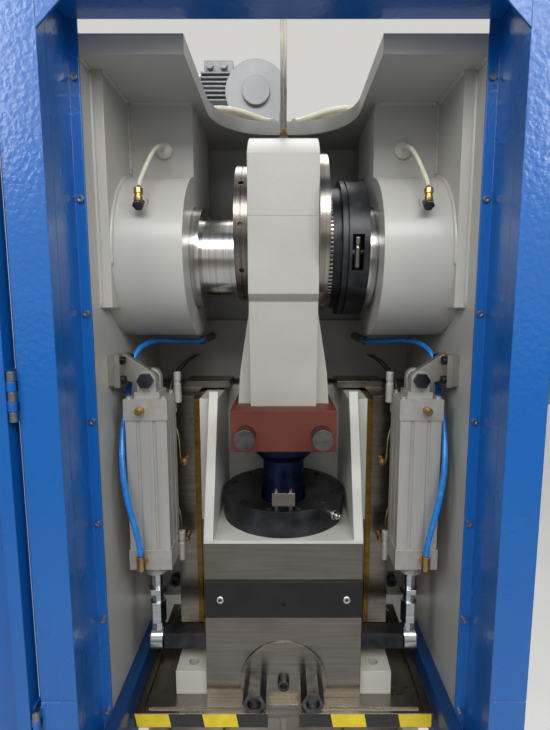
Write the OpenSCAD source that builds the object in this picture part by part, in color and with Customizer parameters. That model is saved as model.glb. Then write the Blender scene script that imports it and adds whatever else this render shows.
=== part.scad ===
// Mechanical stamping press with an adjustable eccentric drive.
// X points to the operator's right, Y away from the operator, Z up.
// The origin is on the floor, straight under the crankshaft axis and the slide's middle.

/* [Frame] */
// Distance from the middle to the inner face of a side plate
wall_inner = 300; // [285:1:330]
// Thickness of a side plate
wall_t = 40; // [30:1:60]
// Distance from the crankshaft axis forward to the front edge of the side plates
frame_front = 195; // [180:1:230]
// Distance from the crankshaft axis back to the rear edge of the side plates
frame_rear = 505; // [420:5:600]
// Height of the levelling feet under the side plates
foot_h = 40; // [30:1:80]
// Height of the underside of the crown plate
crown_z = 2223; // [2200:1:2300]
// Thickness of the crown plate
crown_t = 28; // [20:1:40]
// Half width of the notch in the crown plate, at its front
notch_half = 145; // [130:1:150]
// Distance from the crankshaft axis back to the bottom of the notch
notch_depth = 134; // [110:1:150]
// Width of the feed window in a side plate
window_w = 300; // [200:5:340]
// Height of the feed window in a side plate
window_h = 230; // [150:5:260]
// Distance from the crankshaft axis back to the front face of the rear plate
rear_plate_y = 230; // [215:1:260]

/* [Bed] */
// Height of the top of the bolster plate
bolster_top = 760; // [700:5:800]
// Thickness of the bolster plate
bolster_t = 60; // [45:1:80]
// Depth of the bolster plate from front to back
bolster_d = 480; // [400:10:520]
// Height of the bed box under the bolster plate
bed_h = 180; // [120:5:240]
// Radius of the drop hole through the bolster plate and the bed
drop_r = 60; // [40:1:90]
// Width of the mouth of a T slot
slot_w = 18; // [12:1:22]

/* [Crank train] */
// Height of the crankshaft axis
crank_z = 1950; // [1940:1:1960]
// Radius of the crankshaft in its main bearings
shaft_r = 75; // [65:1:76]
// Radius of the eccentric journal
journal_r = 78; // [77:0.5:82]
// Offset of the journal from the crankshaft axis
journal_e = 17; // [14:1:19]
// Offset of the stroke bush's outside from the journal
bush_e = 27; // [24:1:28]
// Outside radius of the stroke bush
bush_r = 114; // [113:1:118]
// Outside radius of the steel ring on the left end of the stroke bush
ring_r = 124; // [122:1:130]
// Outside radius of the polished toothed flange
flange_r = 144; // [138:1:150]
// Number of teeth in the stroke coupling
coupling_teeth = 96; // [48:12:120]
// Outside radius of the slotted nut
nut_r = 124; // [118:1:130]
// Outside radius of the flywheel
flywheel_r = 255; // [220:5:260]
// Width of the flywheel rim
flywheel_w = 100; // [80:5:105]

/* [Connecting rod] */
// Half width of the connecting rod along the crankshaft
rod_half = 60; // [55:1:60]
// Outside radius of the big end
big_end_r = 169; // [160:1:175]
// Half depth of the big end between its flat faces
big_end_flat = 125; // [122:1:135]
// Height of the split between the rod and its cap, above the big end's middle
split_up = 14; // [0:1:20]
// Height of the underside of the rod, where it stands on the clamp block
rod_bottom = 1677; // [1670:1:1690]
// Height of the clamp block
clamp_h = 75; // [60:1:80]
// Half width of the clamp block
clamp_half = 94; // [88:1:98]
// Radius of the neck of the ball spindle
neck_r = 42; // [36:1:44]
// Radius of the ball on the spindle
ball_r = 56; // [50:1:58]

/* [Slide] */
// Height of the underside of the slide at the top of the stroke
slide_z = 1126; // [1120:1:1135]
// Half width of the front block of the slide
slide_half = 144; // [138:1:150]
// Half width of the guided rear part of the slide
guide_half = 164; // [160:1:170]
// Distance from the crankshaft axis forward to the front face of the slide
slide_front = 130; // [125:1:138]
// Distance from the crankshaft axis back to the rear face of the slide
slide_rear = 150; // [146:1:170]
// Height of the floor of the slide's pocket
pocket_z = 1440; // [1436:1:1446]
// Half width of the slide's pocket
pocket_half = 127; // [125:0.5:129]
// Height of the top of the slide's side walls
slide_top = 1695; // [1680:1:1698]
// Radius of the ball retaining disc
retainer_r = 122; // [116:1:124]
// Thickness of the ball retaining disc
retainer_t = 48; // [30:1:52]
// Radius of the bore for the shank of a die
shank_r = 20; // [12.5:0.5:25]
// Half width of the ram plate
ram_half = 271; // [240:1:280]
// Thickness of the ram plate
ram_t = 28; // [22:1:36]

/* [Guides] */
// Width of a guide rail
rail_w = 37; // [30:1:45]
// Thickness of the bronze liner on a guide rail
liner_t = 10; // [6:1:14]
// Height of the lower end of the guide rails
rail_z = 1210; // [1190:1:1230]
// Height of the top of the guide rails
rail_top = 1686; // [1681:1:1692]

/* [Counterbalance cylinders] */
// Distance from the middle to the axis of a cylinder
cyl_x = 236; // [232:1:242]
// Distance from the crankshaft axis forward to the axis of a cylinder
cyl_y = 108; // [100:1:112]
// Width of the square caps of a cylinder
cap_w = 75; // [70:1:76]
// Bore of a cylinder
cyl_bore = 63; // [50:1:64]
// Diameter of a piston rod
piston_rod_d = 20; // [16:1:25]
// Height of the lower end of the barrel
barrel_z = 1430; // [1420:1:1440]
// Length of the barrel
barrel_l = 235; // [220:1:240]
// Height of a cylinder cap
cap_h = 37; // [30:1:40]
// Height of the rod eyes at the top of the stroke
eye_z = 1237; // [1230:1:1245]

/* [Sheet metal cover] */
// Distance from the middle to the outside of the cover
cover_half = 367; // [360:1:380]
// Distance from the crankshaft axis forward to the cover's front face
cover_front = 290; // [280:1:310]
// Half width of the opening in the cover's front face
opening_half = 312; // [306:1:320]
// Thickness of the sheet metal
sheet_t = 3; // [2:0.5:4]
// Height of the top of the cover
cover_top = 2420; // [2400:5:2450]
// Height of the header panel
header_h = 152; // [130:1:190]
// Height of the seam between the upper and the lower cover panels
seam_z = 1265; // [1250:1:1280]
// Height of the lower edge of the door
door_z = 1110; // [1100:1:1150]
// Thickness of the door
door_t = 28; // [20:1:30]

/* [Drive] */
// Distance of the drive motor's axis behind the crankshaft axis
motor_y = 660; // [640:5:720]
// Height of the drive motor's axis
motor_z = 1420; // [1380:5:1500]
// Radius of the drive motor's body
motor_r = 105; // [90:1:110]
// Outside radius of the motor pulley
pulley_r = 62; // [50:1:75]

/* [Hidden] */
$fn = 64;

paint = "#d3d5d3";
blue = "#1b4f9e";
steel = "#b9bcbe";
black = "#1d1e20";
cream = "#e6e3d6";
brass = "#b98d45";

// Clearances: between sliding faces, round a running fit, and between parted metal
slide_gap = 0.3;
fit_gap = 0.05;
part_gap = 0.5;

wall_outer = wall_inner + wall_t;
crown_top = crown_z + crown_t;
rear_beam_t = 28;

// Bearing boxes
doubler_t = 19;
doubler_in = wall_inner - doubler_t;
doubler_front = frame_front - 44;
doubler_z = crank_z - 93;
box_front = 29;
box_rear = 150;
housing_r = 147;
housing_in = 165;
bearing_wall = 18;
seal_r = 94;
seal_w = 16;

// Crank train, at the top of the stroke
journal_z = crank_z + journal_e;
big_end_z = journal_z + bush_e;
throw = journal_e + bush_e;
ring_w = 24;
flange_w = 17;
tooth_h = 8;
toothed_w = 15;
toothed_r = 112;
tooth_in = journal_r + 16;
ring_x = -rod_half - slide_gap - ring_w;
flange_x = rod_half + slide_gap;
tooth_x = flange_x + flange_w;
toothed_x = tooth_x + tooth_h;
nut_x = toothed_x + toothed_w;
nut_w = 46;
journal_x0 = ring_x;
journal_x1 = nut_x + nut_w;
shaft_x0 = -wall_outer + 12;
guard_x0 = cover_half + 3;
guard_w = flywheel_w + 28;
guard_r = flywheel_r + 20;
guard_tail_r = pulley_r + 24;
flywheel_x = guard_x0 + 10;
hub_r = 110;
belt_pitch = 19;
belt_x = flywheel_x + 30;
belt_depth = 11;

// Slide and ball joint
clamp_z = rod_bottom - clamp_h;
clamp_front = 120;
disc_z = pocket_z + 2;
disc_top = disc_z + retainer_t;
ball_z = disc_z - ball_r - 14;
open_gap = throw + 4;
cavity_r = ball_r + open_gap;
disc_slot_half = neck_r + 2;
retainer_screw_r = retainer_r - 16;
guide_front = 30;
ram_front = 165;
shank_z = slide_z + 36;
clamp_cap_t = 3;

// Guides
liner_x = guide_half + slide_gap;
rail_x = liner_x + liner_t;
rail_front = 32;
rail_l = rail_top - rail_z;

// Cylinders
rod_r = piston_rod_d / 2;
barrel_top = barrel_z + barrel_l;
cap_top = barrel_top + cap_h;
cap_low = barrel_z - cap_h;
clevis_z = cap_top + 31;
piston_z = barrel_top - 40;

// Oil pipes to the bearing housings
pipe_x = 232;
elbow_z = crank_z + 80;
elbow_r = 8;
elbow_end = 118;

// Route of the right oil pipe, from the plug on the box to the elbow on the housing
OIL_ROUTE = [[217, -35, 2140], [217, -52, 2140], [219, -75, 2132], [223, -100, 2112],
    [228, -125, 2082], [231, -142, 2060], [232, -149, 2046]];

// Route of the right air tube, from the elbow on the lower cap to the plug on the rear beam
TUBE_ROUTE = [[248, -161, 1429], [248, -161, 1441], [255, -163, 1478], [267, -162, 1530],
    [277, -152, 1590], [283, -120, 1650], [284, -90, 1690], [285, -66, 1725], [284, -58, 1755],
    [274, -40, 1782], [250, -10, 1793], [215, 12, 1790], [188, 30, 1788], [174, 43, 1787],
    [171, 54, 1787], [171, 64, 1787]];
tube_sides = 8;

// Brackets that hold the cylinders: a spacer on the side plate and a base plate on it
bracket_spacer_t = 11;
bracket_base_t = 10;
bracket_in = wall_inner - bracket_spacer_t - bracket_base_t;
bracket_y0 = cyl_y;
bracket_screw_y = 22;
bracket_screw_zs = [clevis_z + 1, clevis_z + 34];

// Cover
header_z = cover_top - header_h;
flange_in = wall_inner - 3;
cover_z0 = foot_h + 20;
panel_half = opening_half - slide_gap;
flange_front = frame_front + sheet_t;

// Door and its hinges
hinge_x = -cover_half - 5;
hinge_y = -cover_front - 6;
hinge_l = 71;
hinge_r = 5.5;
hinge_pin_r = 3;
knuckle_l = hinge_l / 5;
door_x = hinge_x - 8;
door_y = hinge_y - 2;
door_w = 2 * cover_half - 12;
door_top = cover_top - 8;
hinge_zs = [door_z + 75, (door_z + door_top) / 2 - 60, door_top - 182];

// Bed
bed_top = bolster_top - bolster_t;
bolster_half = wall_inner - 6;
bed_front = 240;

// Shared shapes

module block(x0, x1, y0, y1, z0, z1) {
    translate([x0, y0, z0]) cube([x1 - x0, y1 - y0, z1 - z0]);
}

// A round bar along X from x0, with its axis at y and z
module bar_x(x0, y, z, r, l) {
    translate([x0, y, z]) rotate([0, 90, 0]) cylinder(r = r, h = l);
}

// A round bar along Y, whose front end is at y0
module bar_y(x, y0, z, r, l) {
    translate([x, y0, z]) rotate([-90, 0, 0]) cylinder(r = r, h = l);
}

// An outline drawn as seen along X, with its points as [y, z], pulled out along X
module plate_x(x0, w) {
    translate([x0, 0, 0]) rotate([90, 0, 90]) linear_extrude(w) children();
}

// An outline drawn as seen from the front, with its points as [x, z], pulled back from y0
module plate_y(y0, w) {
    translate([0, y0 + w, 0]) rotate([90, 0, 0]) linear_extrude(w) children();
}

// A copy on each side of the middle
module both_sides() {
    children();
    mirror([1, 0, 0]) children();
}

// A socket head screw standing up from the origin, with its hexagon socket
module socket_head(r, h) {
    difference() {
        cylinder(r = r, h = h);
        translate([0, 0, h / 2]) cylinder(r = r * 0.58, h = h, $fn = 6);
    }
}

// A hexagon nut or head across flats af
module hexagon(af, h) {
    cylinder(r = af / sqrt(3), h = h, $fn = 6);
}

// Frame

module side_plate() {
    color(paint) difference() {
        plate_x(wall_inner, wall_t) polygon([
            [-frame_front, foot_h], [frame_rear, foot_h], [frame_rear, crown_z],
            [-frame_front, crown_z]]);
        block(wall_inner - 1, wall_outer + 1, -window_w / 2 - 10, window_w / 2 - 10,
            bolster_top + 40, bolster_top + 40 + window_h);
    }
}

module side_plate_right() {
    difference() {
        side_plate();
        color(paint) bar_x(wall_inner - 1, 0, crank_z, shaft_r + bearing_wall + 2, wall_t + 2);
    }
}

module side_plate_left() {
    difference() {
        mirror([1, 0, 0]) side_plate();
        color(paint) bar_x(-wall_outer + 6, 0, crank_z, shaft_r + bearing_wall + 2, wall_t);
    }
}

// The crown plate is notched so that the rod's oil tubes can be reached from the front
module crown_plate() {
    corner = 118;
    color(paint) translate([0, 0, crown_z]) difference() {
        translate([-wall_outer, -frame_front, 0])
            cube([2 * wall_outer, frame_front + frame_rear, crown_t]);
        translate([0, 0, -1]) linear_extrude(crown_t + 2) union() {
            translate([-notch_half, -frame_front - 1])
                square([2 * notch_half, frame_front + notch_depth - corner + 1]);
            translate([-notch_half + corner, 0])
                square([2 * (notch_half - corner), notch_depth]);
            intersection() {
                for (side = [-1, 1])
                    translate([side * (notch_half - corner), notch_depth - corner])
                        circle(r = corner);
                translate([-notch_half, -1]) square([2 * notch_half, notch_depth + 1]);
            }
        }
    }
}

module rear_plate() {
    beam_z = 1683;
    beam_h = 142;
    color(paint) union() {
        block(-wall_inner, wall_inner, rear_plate_y, rear_plate_y + 30, rail_z - 20, crown_z);
        block(-wall_inner, wall_inner, rear_plate_y - rear_beam_t, rear_plate_y, beam_z,
            beam_z + beam_h);
        block(-wall_inner, wall_inner, frame_rear - 30, frame_rear, foot_h, bolster_top);
    }
}

// Doubler, round housing and the box above it, welded together
module bearing_box() {
    color(paint) difference() {
        union() {
            block(doubler_in, wall_inner, -doubler_front, box_rear, doubler_z, crown_z);
            block(housing_in, doubler_in, -box_front, box_rear, crank_z, crown_z);
            bar_x(housing_in, 0, crank_z, housing_r, wall_inner - housing_in);
        }
        bar_x(housing_in - 1, 0, crank_z, shaft_r + bearing_wall, wall_inner - housing_in + 2);
        bar_x(housing_in - 1, 0, crank_z, seal_r + 1, seal_w + 1);
        bar_y(pipe_x, -housing_r, elbow_z, elbow_r + slide_gap, housing_r - elbow_end);
    }
}

module bearing_box_left() { mirror([1, 0, 0]) bearing_box(); }
module bearing_box_right() { bearing_box(); }

module main_bearings() {
    color(brass) both_sides() difference() {
        bar_x(housing_in + seal_w, 0, crank_z, shaft_r + bearing_wall, 104);
        bar_x(housing_in, 0, crank_z, shaft_r + fit_gap, 140);
    }
}

module seal_rings() {
    color(steel) both_sides() difference() {
        bar_x(housing_in - seal_w, 0, crank_z, seal_r, 2 * seal_w);
        bar_x(housing_in - seal_w - 1, 0, crank_z, shaft_r + fit_gap, 2 * seal_w + 2);
    }
}

module bed() {
    color(paint) difference() {
        union() {
            block(-wall_inner, wall_inner, -frame_front, frame_rear - 30, bed_top - bed_h, bed_top);
            block(-bolster_half, bolster_half, -bed_front, -frame_front, bed_top - bed_h, bed_top);
        }
        translate([0, 0, bed_top - bed_h - 1]) cylinder(r = drop_r + 30, h = bed_h + 2);
    }
}

module bolster_plate() {
    pitch = 150;
    color(steel) difference() {
        block(-bolster_half, bolster_half, -bolster_d / 2, bolster_d / 2, bed_top, bolster_top);
        translate([0, 0, bed_top - 1]) cylinder(r = drop_r, h = bolster_t + 2);
        for (x = [-pitch, 0, pitch]) {
            block(x - slot_w / 2, x + slot_w / 2, -bolster_d / 2 - 1, bolster_d / 2 + 1,
                bolster_top - 30, bolster_top + 1);
            block(x - slot_w * 0.85, x + slot_w * 0.85, -bolster_d / 2 - 1, bolster_d / 2 + 1,
                bolster_top - 34, bolster_top - 20);
        }
    }
}

module levelling_feet() {
    color(black) for (x = [-1, 1], y = [-frame_front + 60, frame_rear - 60])
        translate([x * (wall_inner + wall_t / 2), y, 0]) {
            cylinder(r = 55, h = 18);
            cylinder(r = 20, h = foot_h);
            translate([0, 0, foot_h - 12]) hexagon(55, 12);
        }
}

// Sheet metal cover

// Section of one cover column: front face, outer return, inner return with a small fold, and
// the flange that is screwed on the front edge of the side plate
module cover_section() {
    fold = 1.2;
    lip = 25;
    translate([opening_half, -cover_front]) square([cover_half - opening_half, sheet_t]);
    translate([cover_half - sheet_t, -cover_front]) square([sheet_t, cover_front - frame_front]);
    translate([opening_half, -cover_front]) square([sheet_t, lip]);
    translate([opening_half + fold, -cover_front + lip - sheet_t])
        square([sheet_t, cover_front - frame_front - lip + sheet_t]);
    translate([flange_in, -flange_front]) square([cover_half - flange_in, sheet_t]);
}

// One column, with the seam between its panels and the sill under the slide
module cover_column() {
    seam = 3;
    seam_depth = 1.5;
    sill_z = 1060;
    sill_h = 32;
    sill_in = ram_half + 5;
    color(blue) difference() {
        translate([0, 0, cover_z0]) linear_extrude(cover_top - cover_z0) cover_section();
        block(opening_half + sheet_t + 2, cover_half + 1, -cover_front - 1,
            -cover_front + seam_depth, seam_z, seam_z + seam);
    }
    color(blue) block(sill_in, wall_inner, -cover_front + 52, 60, sill_z, sill_z + sill_h);
}

// The left column also has the strip that shows through the gap beside the door
module cover_left() {
    mirror([1, 0, 0]) cover_column();
    color(blue) block(door_x - 4, -cover_half + 1, -cover_front + door_t, -cover_front + door_t + sheet_t,
        door_z, door_top);
}

module cover_right() { cover_column(); }

// The header closes the cover above the opening, with a gusset in each corner
module cover_header() {
    gusset = 60;
    back = -flange_front - part_gap;
    color(blue) {
        block(-panel_half, panel_half, -cover_front, -cover_front + sheet_t, header_z, cover_top);
        block(-panel_half, panel_half, -cover_front, back, header_z, header_z + sheet_t);
        block(-panel_half, panel_half, -cover_front, back, cover_top - sheet_t, cover_top);
        both_sides() plate_y(-cover_front, sheet_t) polygon([
            [panel_half, header_z], [panel_half - gusset, header_z],
            [panel_half, header_z - gusset]]);
    }
}

// The apron closes the front under the bolster plate
module cover_apron() {
    top = bed_top - 30;
    color(blue) {
        block(-panel_half, panel_half, -cover_front, -cover_front + sheet_t, cover_z0, top);
        block(-panel_half, panel_half, -cover_front, -bed_front, top - sheet_t, top);
    }
}

module cover_screws() {
    count = 7;
    pitch = 171;
    first_z = seam_z - 101;
    color(steel) both_sides() for (k = [0 : count - 1])
        translate([wall_inner + 4, -flange_front, first_z + k * pitch]) rotate([90, 0, 0])
            socket_head(5, 4);
}

// Guides

// A rail with its foot behind it, which reaches the side plate
module guide_rail() {
    foot_y = 60;
    color(steel) {
        block(rail_x, rail_x + rail_w, -rail_front, slide_rear, rail_z, rail_top);
        block(rail_x + rail_w, wall_inner, foot_y, foot_y + 50, rail_z, rail_top);
        block(pocket_half - 12, rail_x + rail_w, foot_y, slide_rear - 10, rail_top, rail_top + 14);
    }
}

module guide_rail_left() { mirror([1, 0, 0]) guide_rail(); }
module guide_rail_right() { guide_rail(); }

module guide_liners() {
    color(brass) both_sides() difference() {
        block(liner_x, rail_x, -rail_front, slide_rear, rail_z, rail_top - 6);
        for (z = [rail_z + 60 : 90 : rail_top - 40])
            block(liner_x - 1, liner_x + 1.5, -rail_front + 14, slide_rear - 14, z, z + 5);
    }
}

module frame_screws() {
    color(black) both_sides() {
        for (share = [0.08, 0.5, 0.9])
            translate([rail_x + rail_w + 30, 60, rail_z + share * rail_l]) rotate([90, 0, 0])
                socket_head(12, 12);
        for (y = [-bracket_screw_y, bracket_screw_y], z = bracket_screw_zs)
            translate([bracket_in, y - bracket_y0, z]) rotate([0, -90, 0]) socket_head(7, 7);
        translate([cyl_x, -cyl_y - 26, clevis_z]) rotate([90, 0, 0]) hexagon(24, 10);
        translate([cyl_x, -cyl_y - 26, clevis_z]) rotate([-90, 0, 0]) cylinder(r = 8, h = 52);
    }
}

// Brass grease nipples on the front of the rails, with their thin lines
module grease_nipples() {
    x = rail_x + rail_w / 2;
    color(brass) both_sides() for (share = [0.4, 0.735]) translate([0, 0, rail_z + share * rail_l]) {
        bar_y(x, -rail_front - 12, 0, 5, 12);
        translate([x, -rail_front - 12, 0]) rotate([90, 0, 0]) hexagon(13, 8);
        bar_y(x, -rail_front - 27, 0, 3.5, 7);
    }
}

module oil_pipes() {
    plug = OIL_ROUTE[0];
    tip = OIL_ROUTE[len(OIL_ROUTE) - 1];
    color(cream) both_sides() {
        bar_y(plug[0], -box_front - 6, plug[2], 15, 6);
        swept_tube(OIL_ROUTE, 3.5, [1, 0, 0]);
        bar_y(pipe_x, tip[1] - elbow_r, elbow_z, elbow_r, -elbow_end - slide_gap - tip[1] + elbow_r);
        translate([tip[0], tip[1], elbow_z - elbow_r + 0.5]) cylinder(r = elbow_r - 0.5,
            h = tip[2] - elbow_z + elbow_r - 0.5);
    }
}

// Counterbalance cylinders

module cylinder_barrels() {
    half = cap_w / 2 - 2;
    color("#c3c6c9") both_sides() difference() {
        translate([cyl_x - half, -cyl_y - half, barrel_z]) cube([2 * half, 2 * half, barrel_l]);
        translate([cyl_x, -cyl_y, barrel_z - 1]) cylinder(d = cyl_bore, h = barrel_l + 2);
        for (turn = [0 : 90 : 270]) translate([cyl_x, -cyl_y, 0]) rotate([0, 0, turn])
            for (s = [-14, 14])
                block(half - 3, half + 1, s - 3, s + 3, barrel_z - 1, barrel_top + 1);
    }
}

// Both caps of each cylinder, with the clevis foot on top and the rod's collar below
module cylinder_caps() {
    half = cap_w / 2;
    color("#aeb1b4") both_sides() translate([cyl_x, -cyl_y, 0]) {
        translate([-half, -half, barrel_top]) cube([cap_w, cap_w, cap_h]);
        for (x = [-1, 1], y = [-1, 1]) translate([x * (half - 8), y * (half - 8), cap_top])
            socket_head(4.5, 4);
        difference() {
            union() {
                translate([-half, -half, cap_low]) cube([cap_w, cap_w, cap_h]);
                translate([0, 0, cap_low - 22]) cylinder(r = 20, h = 22);
            }
            translate([0, 0, cap_low - 23]) cylinder(r = rod_r + fit_gap, h = cap_h + 24);
        }
        difference() {
            union() {
                translate([-22, -24, cap_top]) cube([44, 48, 10]);
                translate([-16, -24, cap_top]) cube([32, 48, clevis_z - cap_top]);
                translate([0, -24, clevis_z]) rotate([-90, 0, 0]) cylinder(r = 16, h = 48);
            }
            translate([0, -25, clevis_z]) rotate([-90, 0, 0]) cylinder(r = 8.02, h = 50);
            translate([-17, -9, cap_top + 12]) cube([34, 18, 60]);
        }
    }
}

// A spacer and a base plate on the side plate, and a triangular arm that ends in the pivot's eye
module cylinder_brackets() {
    half = 30;
    arm_t = 17;
    low_z = clevis_z - 12;
    top_z = clevis_z + 44;
    color(black) both_sides() difference() {
        union() {
            block(wall_inner - bracket_spacer_t, wall_inner, -bracket_y0 - half + 2,
                -bracket_y0 + half - 2, low_z + 2, top_z - 2);
            block(bracket_in, wall_inner - bracket_spacer_t, -bracket_y0 - half,
                -bracket_y0 + half, low_z, top_z);
            plate_y(-bracket_y0 - arm_t / 2, arm_t) polygon([
                [bracket_in, top_z], [bracket_in, clevis_z - 2],
                [cyl_x, clevis_z - 13], [cyl_x - 6, clevis_z + 12]]);
            bar_y(cyl_x, -bracket_y0 - arm_t / 2, clevis_z, 14, arm_t);
        }
        bar_y(cyl_x, -bracket_y0 - half, clevis_z, 8.02, 2 * half);
    }
}

module air_elbows() {
    color("#c79a4c") both_sides() {
        translate([cyl_x + 8, -cyl_y - cap_w / 2, barrel_top + cap_h / 2]) rotate([90, 0, 0]) {
            cylinder(r = 7, h = 12);
            translate([0, 0, 12]) cylinder(r = 5, h = 6);
        }
        translate([cyl_x + 12, -cyl_y - cap_w / 2, cap_low + cap_h / 2]) rotate([90, 0, 0])
            cylinder(r = 8, h = 16);
        translate([cyl_x + 12, -cyl_y - cap_w / 2 - 16, cap_low + cap_h / 2 - 9])
            cylinder(r = 8, h = 26);
    }
    plug = TUBE_ROUTE[len(TUBE_ROUTE) - 1];
    color(black) both_sides()
        bar_y(plug[0], plug[1] + slide_gap, plug[2], 9,
            rear_plate_y - rear_beam_t - plug[1] - slide_gap);
}

function unit(v) = v / norm(v);
function heading(path, k) =
    unit(path[min(k + 1, len(path) - 1)] - path[max(k - 1, 0)]);

// One ring of points round the route, square to its heading and turned by a fixed reference
function tube_ring(path, k, r, ref) =
    let (along = heading(path, k), side = unit(cross(along, ref)), up = cross(side, along))
    [for (s = [0 : tube_sides - 1])
        path[k] + r * (cos(s * 360 / tube_sides) * side + sin(s * 360 / tube_sides) * up)];

module swept_tube(path, r, ref) {
    n = len(path);
    points = [for (k = [0 : n - 1]) each tube_ring(path, k, r, ref)];
    sides = [for (k = [0 : n - 2], s = [0 : tube_sides - 1])
        let (a = k * tube_sides + s, b = k * tube_sides + (s + 1) % tube_sides)
        each [[a, b, b + tube_sides], [a, b + tube_sides, a + tube_sides]]];
    start = [for (s = [tube_sides - 1 : -1 : 0]) s];
    finish = [for (s = [0 : tube_sides - 1]) (n - 1) * tube_sides + s];
    polyhedron(points = points, faces = concat(sides, [start], [finish]), convexity = 6);
}

module air_tubes() {
    color("#2f8fe0") both_sides() swept_tube(TUBE_ROUTE, 5, [1, 0.5, 0]);
}

// On the crown

// Worm gear motor: round gear case, motor with lengthwise fins, and its terminal box
module gear_motor() {
    x = -70;
    y = 370;
    case_r = 79;
    axis_z = crown_top + 150;
    motor_axis_z = axis_z + 19;
    fin_w = 4;
    fin_pitch = 11;
    body_x0 = x - 143;
    body_x1 = x - 51;
    color("#8e9294") {
        block(x - 60, x + 60, y - 20, y + 90, crown_top, axis_z);
        bar_x(body_x1 - 1, y + 35, motor_axis_z, 46, 60);
        bar_y(x, y - 20, axis_z, case_r, 110);
        bar_y(x, y - 32, axis_z, 35, 12);
        plate_x(body_x0, body_x1 - body_x0) {
            translate([y + 35, motor_axis_z]) circle(r = 36);
            for (k = [-3 : 3]) translate([y - 8, motor_axis_z + k * fin_pitch - fin_w / 2])
                square([86, fin_w]);
        }
        bar_x(body_x0 - 22, y + 35, motor_axis_z, 43, 22);
        block(body_x0 + 8, body_x1 - 10, y + 2, y + 68, motor_axis_z + 34, motor_axis_z + 66);
        for (s = [0, 1]) bar_y(body_x0 + 24 + s * 36, y - 12, motor_axis_z + 50, 9, 14);
    }
}

// Loops of cream hose that lie on the crown behind the notch
module hose_bundles() {
    hose_r = 6;
    color(cream) both_sides() for (k = [0 : 2])
        translate([86, 250 + k * 16, crown_top + hose_r + k * 0.1])
            rotate([0, 0, 205]) rotate_extrude(angle = 130) translate([62 + 13 * k, 0])
                circle(r = hose_r, $fn = 24);
}

// A slotted plate on the header that keeps the rod's two oil tubes together
module hose_guide() {
    color(black) difference() {
        block(-30, 30, -cover_front + 3, 14, cover_top, cover_top + 6);
        block(-16, 16, -throw - 16, 8, cover_top - 1, cover_top + 7);
    }
}

// Drive

module main_motor() {
    rear = frame_rear;
    color("#8e9294") {
        difference() {
            bar_x(20, motor_y, motor_z, motor_r, 270);
            for (k = [0 : 11]) translate([50 + k * 17, 0, 0]) difference() {
                bar_x(0, motor_y, motor_z, motor_r + 10, 8);
                bar_x(-1, motor_y, motor_z, motor_r - 9, 10);
            }
        }
        bar_x(290, motor_y, motor_z, 14, guard_x0 + flywheel_w - 290);
        block(60, 260, motor_y - 80, motor_y + 80, motor_z - motor_r - 14,
            motor_z - motor_r + 20);
        block(60, 260, rear, motor_y + 80, motor_z - motor_r - 30, motor_z - motor_r - 14);
        block(60, 260, rear, rear + 14, motor_z - motor_r - 130, motor_z - motor_r - 30);
    }
}

// Guard over the flywheel and the belts, an open tray that faces the side plate on four bars
module guard() {
    bar_r = 9;
    post_r = guard_r + bar_r - 1;
    run = norm([motor_y, crank_z - motor_z]);
    low_turn = -atan2(crank_z - motor_z, motor_y) - acos((guard_r - guard_tail_r) / run);
    along = 450;
    color(blue) difference() {
        plate_x(guard_x0, guard_w) belt_outline(guard_r, guard_tail_r);
        plate_x(guard_x0 - 1, guard_w - sheet_t + 1)
            belt_outline(guard_r - sheet_t, guard_tail_r - sheet_t);
    }
    color(blue) {
        for (turn = [50, 125, 232])
            bar_x(wall_outer, post_r * cos(turn), crank_z + post_r * sin(turn), bar_r,
                guard_x0 + 7 - wall_outer);
        bar_x(wall_outer, post_r * cos(low_turn) - along * sin(low_turn),
            crank_z + post_r * sin(low_turn) + along * cos(low_turn), bar_r,
            guard_x0 + 7 - wall_outer);
    }
}

// Outline round the flywheel and the pulley, as [y, z]
module belt_outline(r1, r2) {
    hull() {
        translate([0, crank_z]) circle(r = r1, $fn = 96);
        translate([motor_y, motor_z]) circle(r = r2, $fn = 96);
    }
}

module flywheel() {
    rim_in = flywheel_r - 55;
    color("#6f7477") difference() {
        bar_x(flywheel_x, 0, crank_z, flywheel_r, flywheel_w);
        bar_x(flywheel_x - 1, 0, crank_z, hub_r + fit_gap, flywheel_w + 2);
        difference() {
            bar_x(flywheel_x - 1, 0, crank_z, rim_in, flywheel_w + 2);
            bar_x(flywheel_x - 2, 0, crank_z, hub_r + 30, flywheel_w + 4);
            bar_x(flywheel_x + flywheel_w / 2 - 14, 0, crank_z, rim_in + 1, 28);
        }
        for (k = [0 : 2]) groove(belt_x + k * belt_pitch, crank_z, 0, flywheel_r);
    }
}

// A ring-shaped V groove round a wheel that turns about X
module groove(x, z, y, r) {
    translate([x, y, z]) rotate([0, 90, 0]) rotate_extrude()
        polygon([[r + 1, -7], [r - belt_depth, -4], [r - belt_depth, 4], [r + 1, 7]]);
}

module motor_pulley() {
    color("#6f7477") difference() {
        bar_x(flywheel_x + 16, motor_y, motor_z, pulley_r, 66);
        bar_x(flywheel_x, motor_y, motor_z, 14 + fit_gap, 100);
        for (k = [0 : 2]) groove(belt_x + k * belt_pitch, motor_z, motor_y, pulley_r);
    }
}

module drive_belts() {
    wheel = flywheel_r - belt_depth + slide_gap;
    small = pulley_r - belt_depth + slide_gap;
    thick = 9;
    belt_w = 7;
    color(black) for (k = [0 : 2]) difference() {
        plate_x(belt_x + k * belt_pitch - belt_w / 2, belt_w)
            belt_outline(wheel + thick, small + thick);
        plate_x(belt_x + k * belt_pitch - belt_w / 2 - 1, belt_w + 2)
            belt_outline(wheel, small);
    }
}

// Crank train

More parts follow.
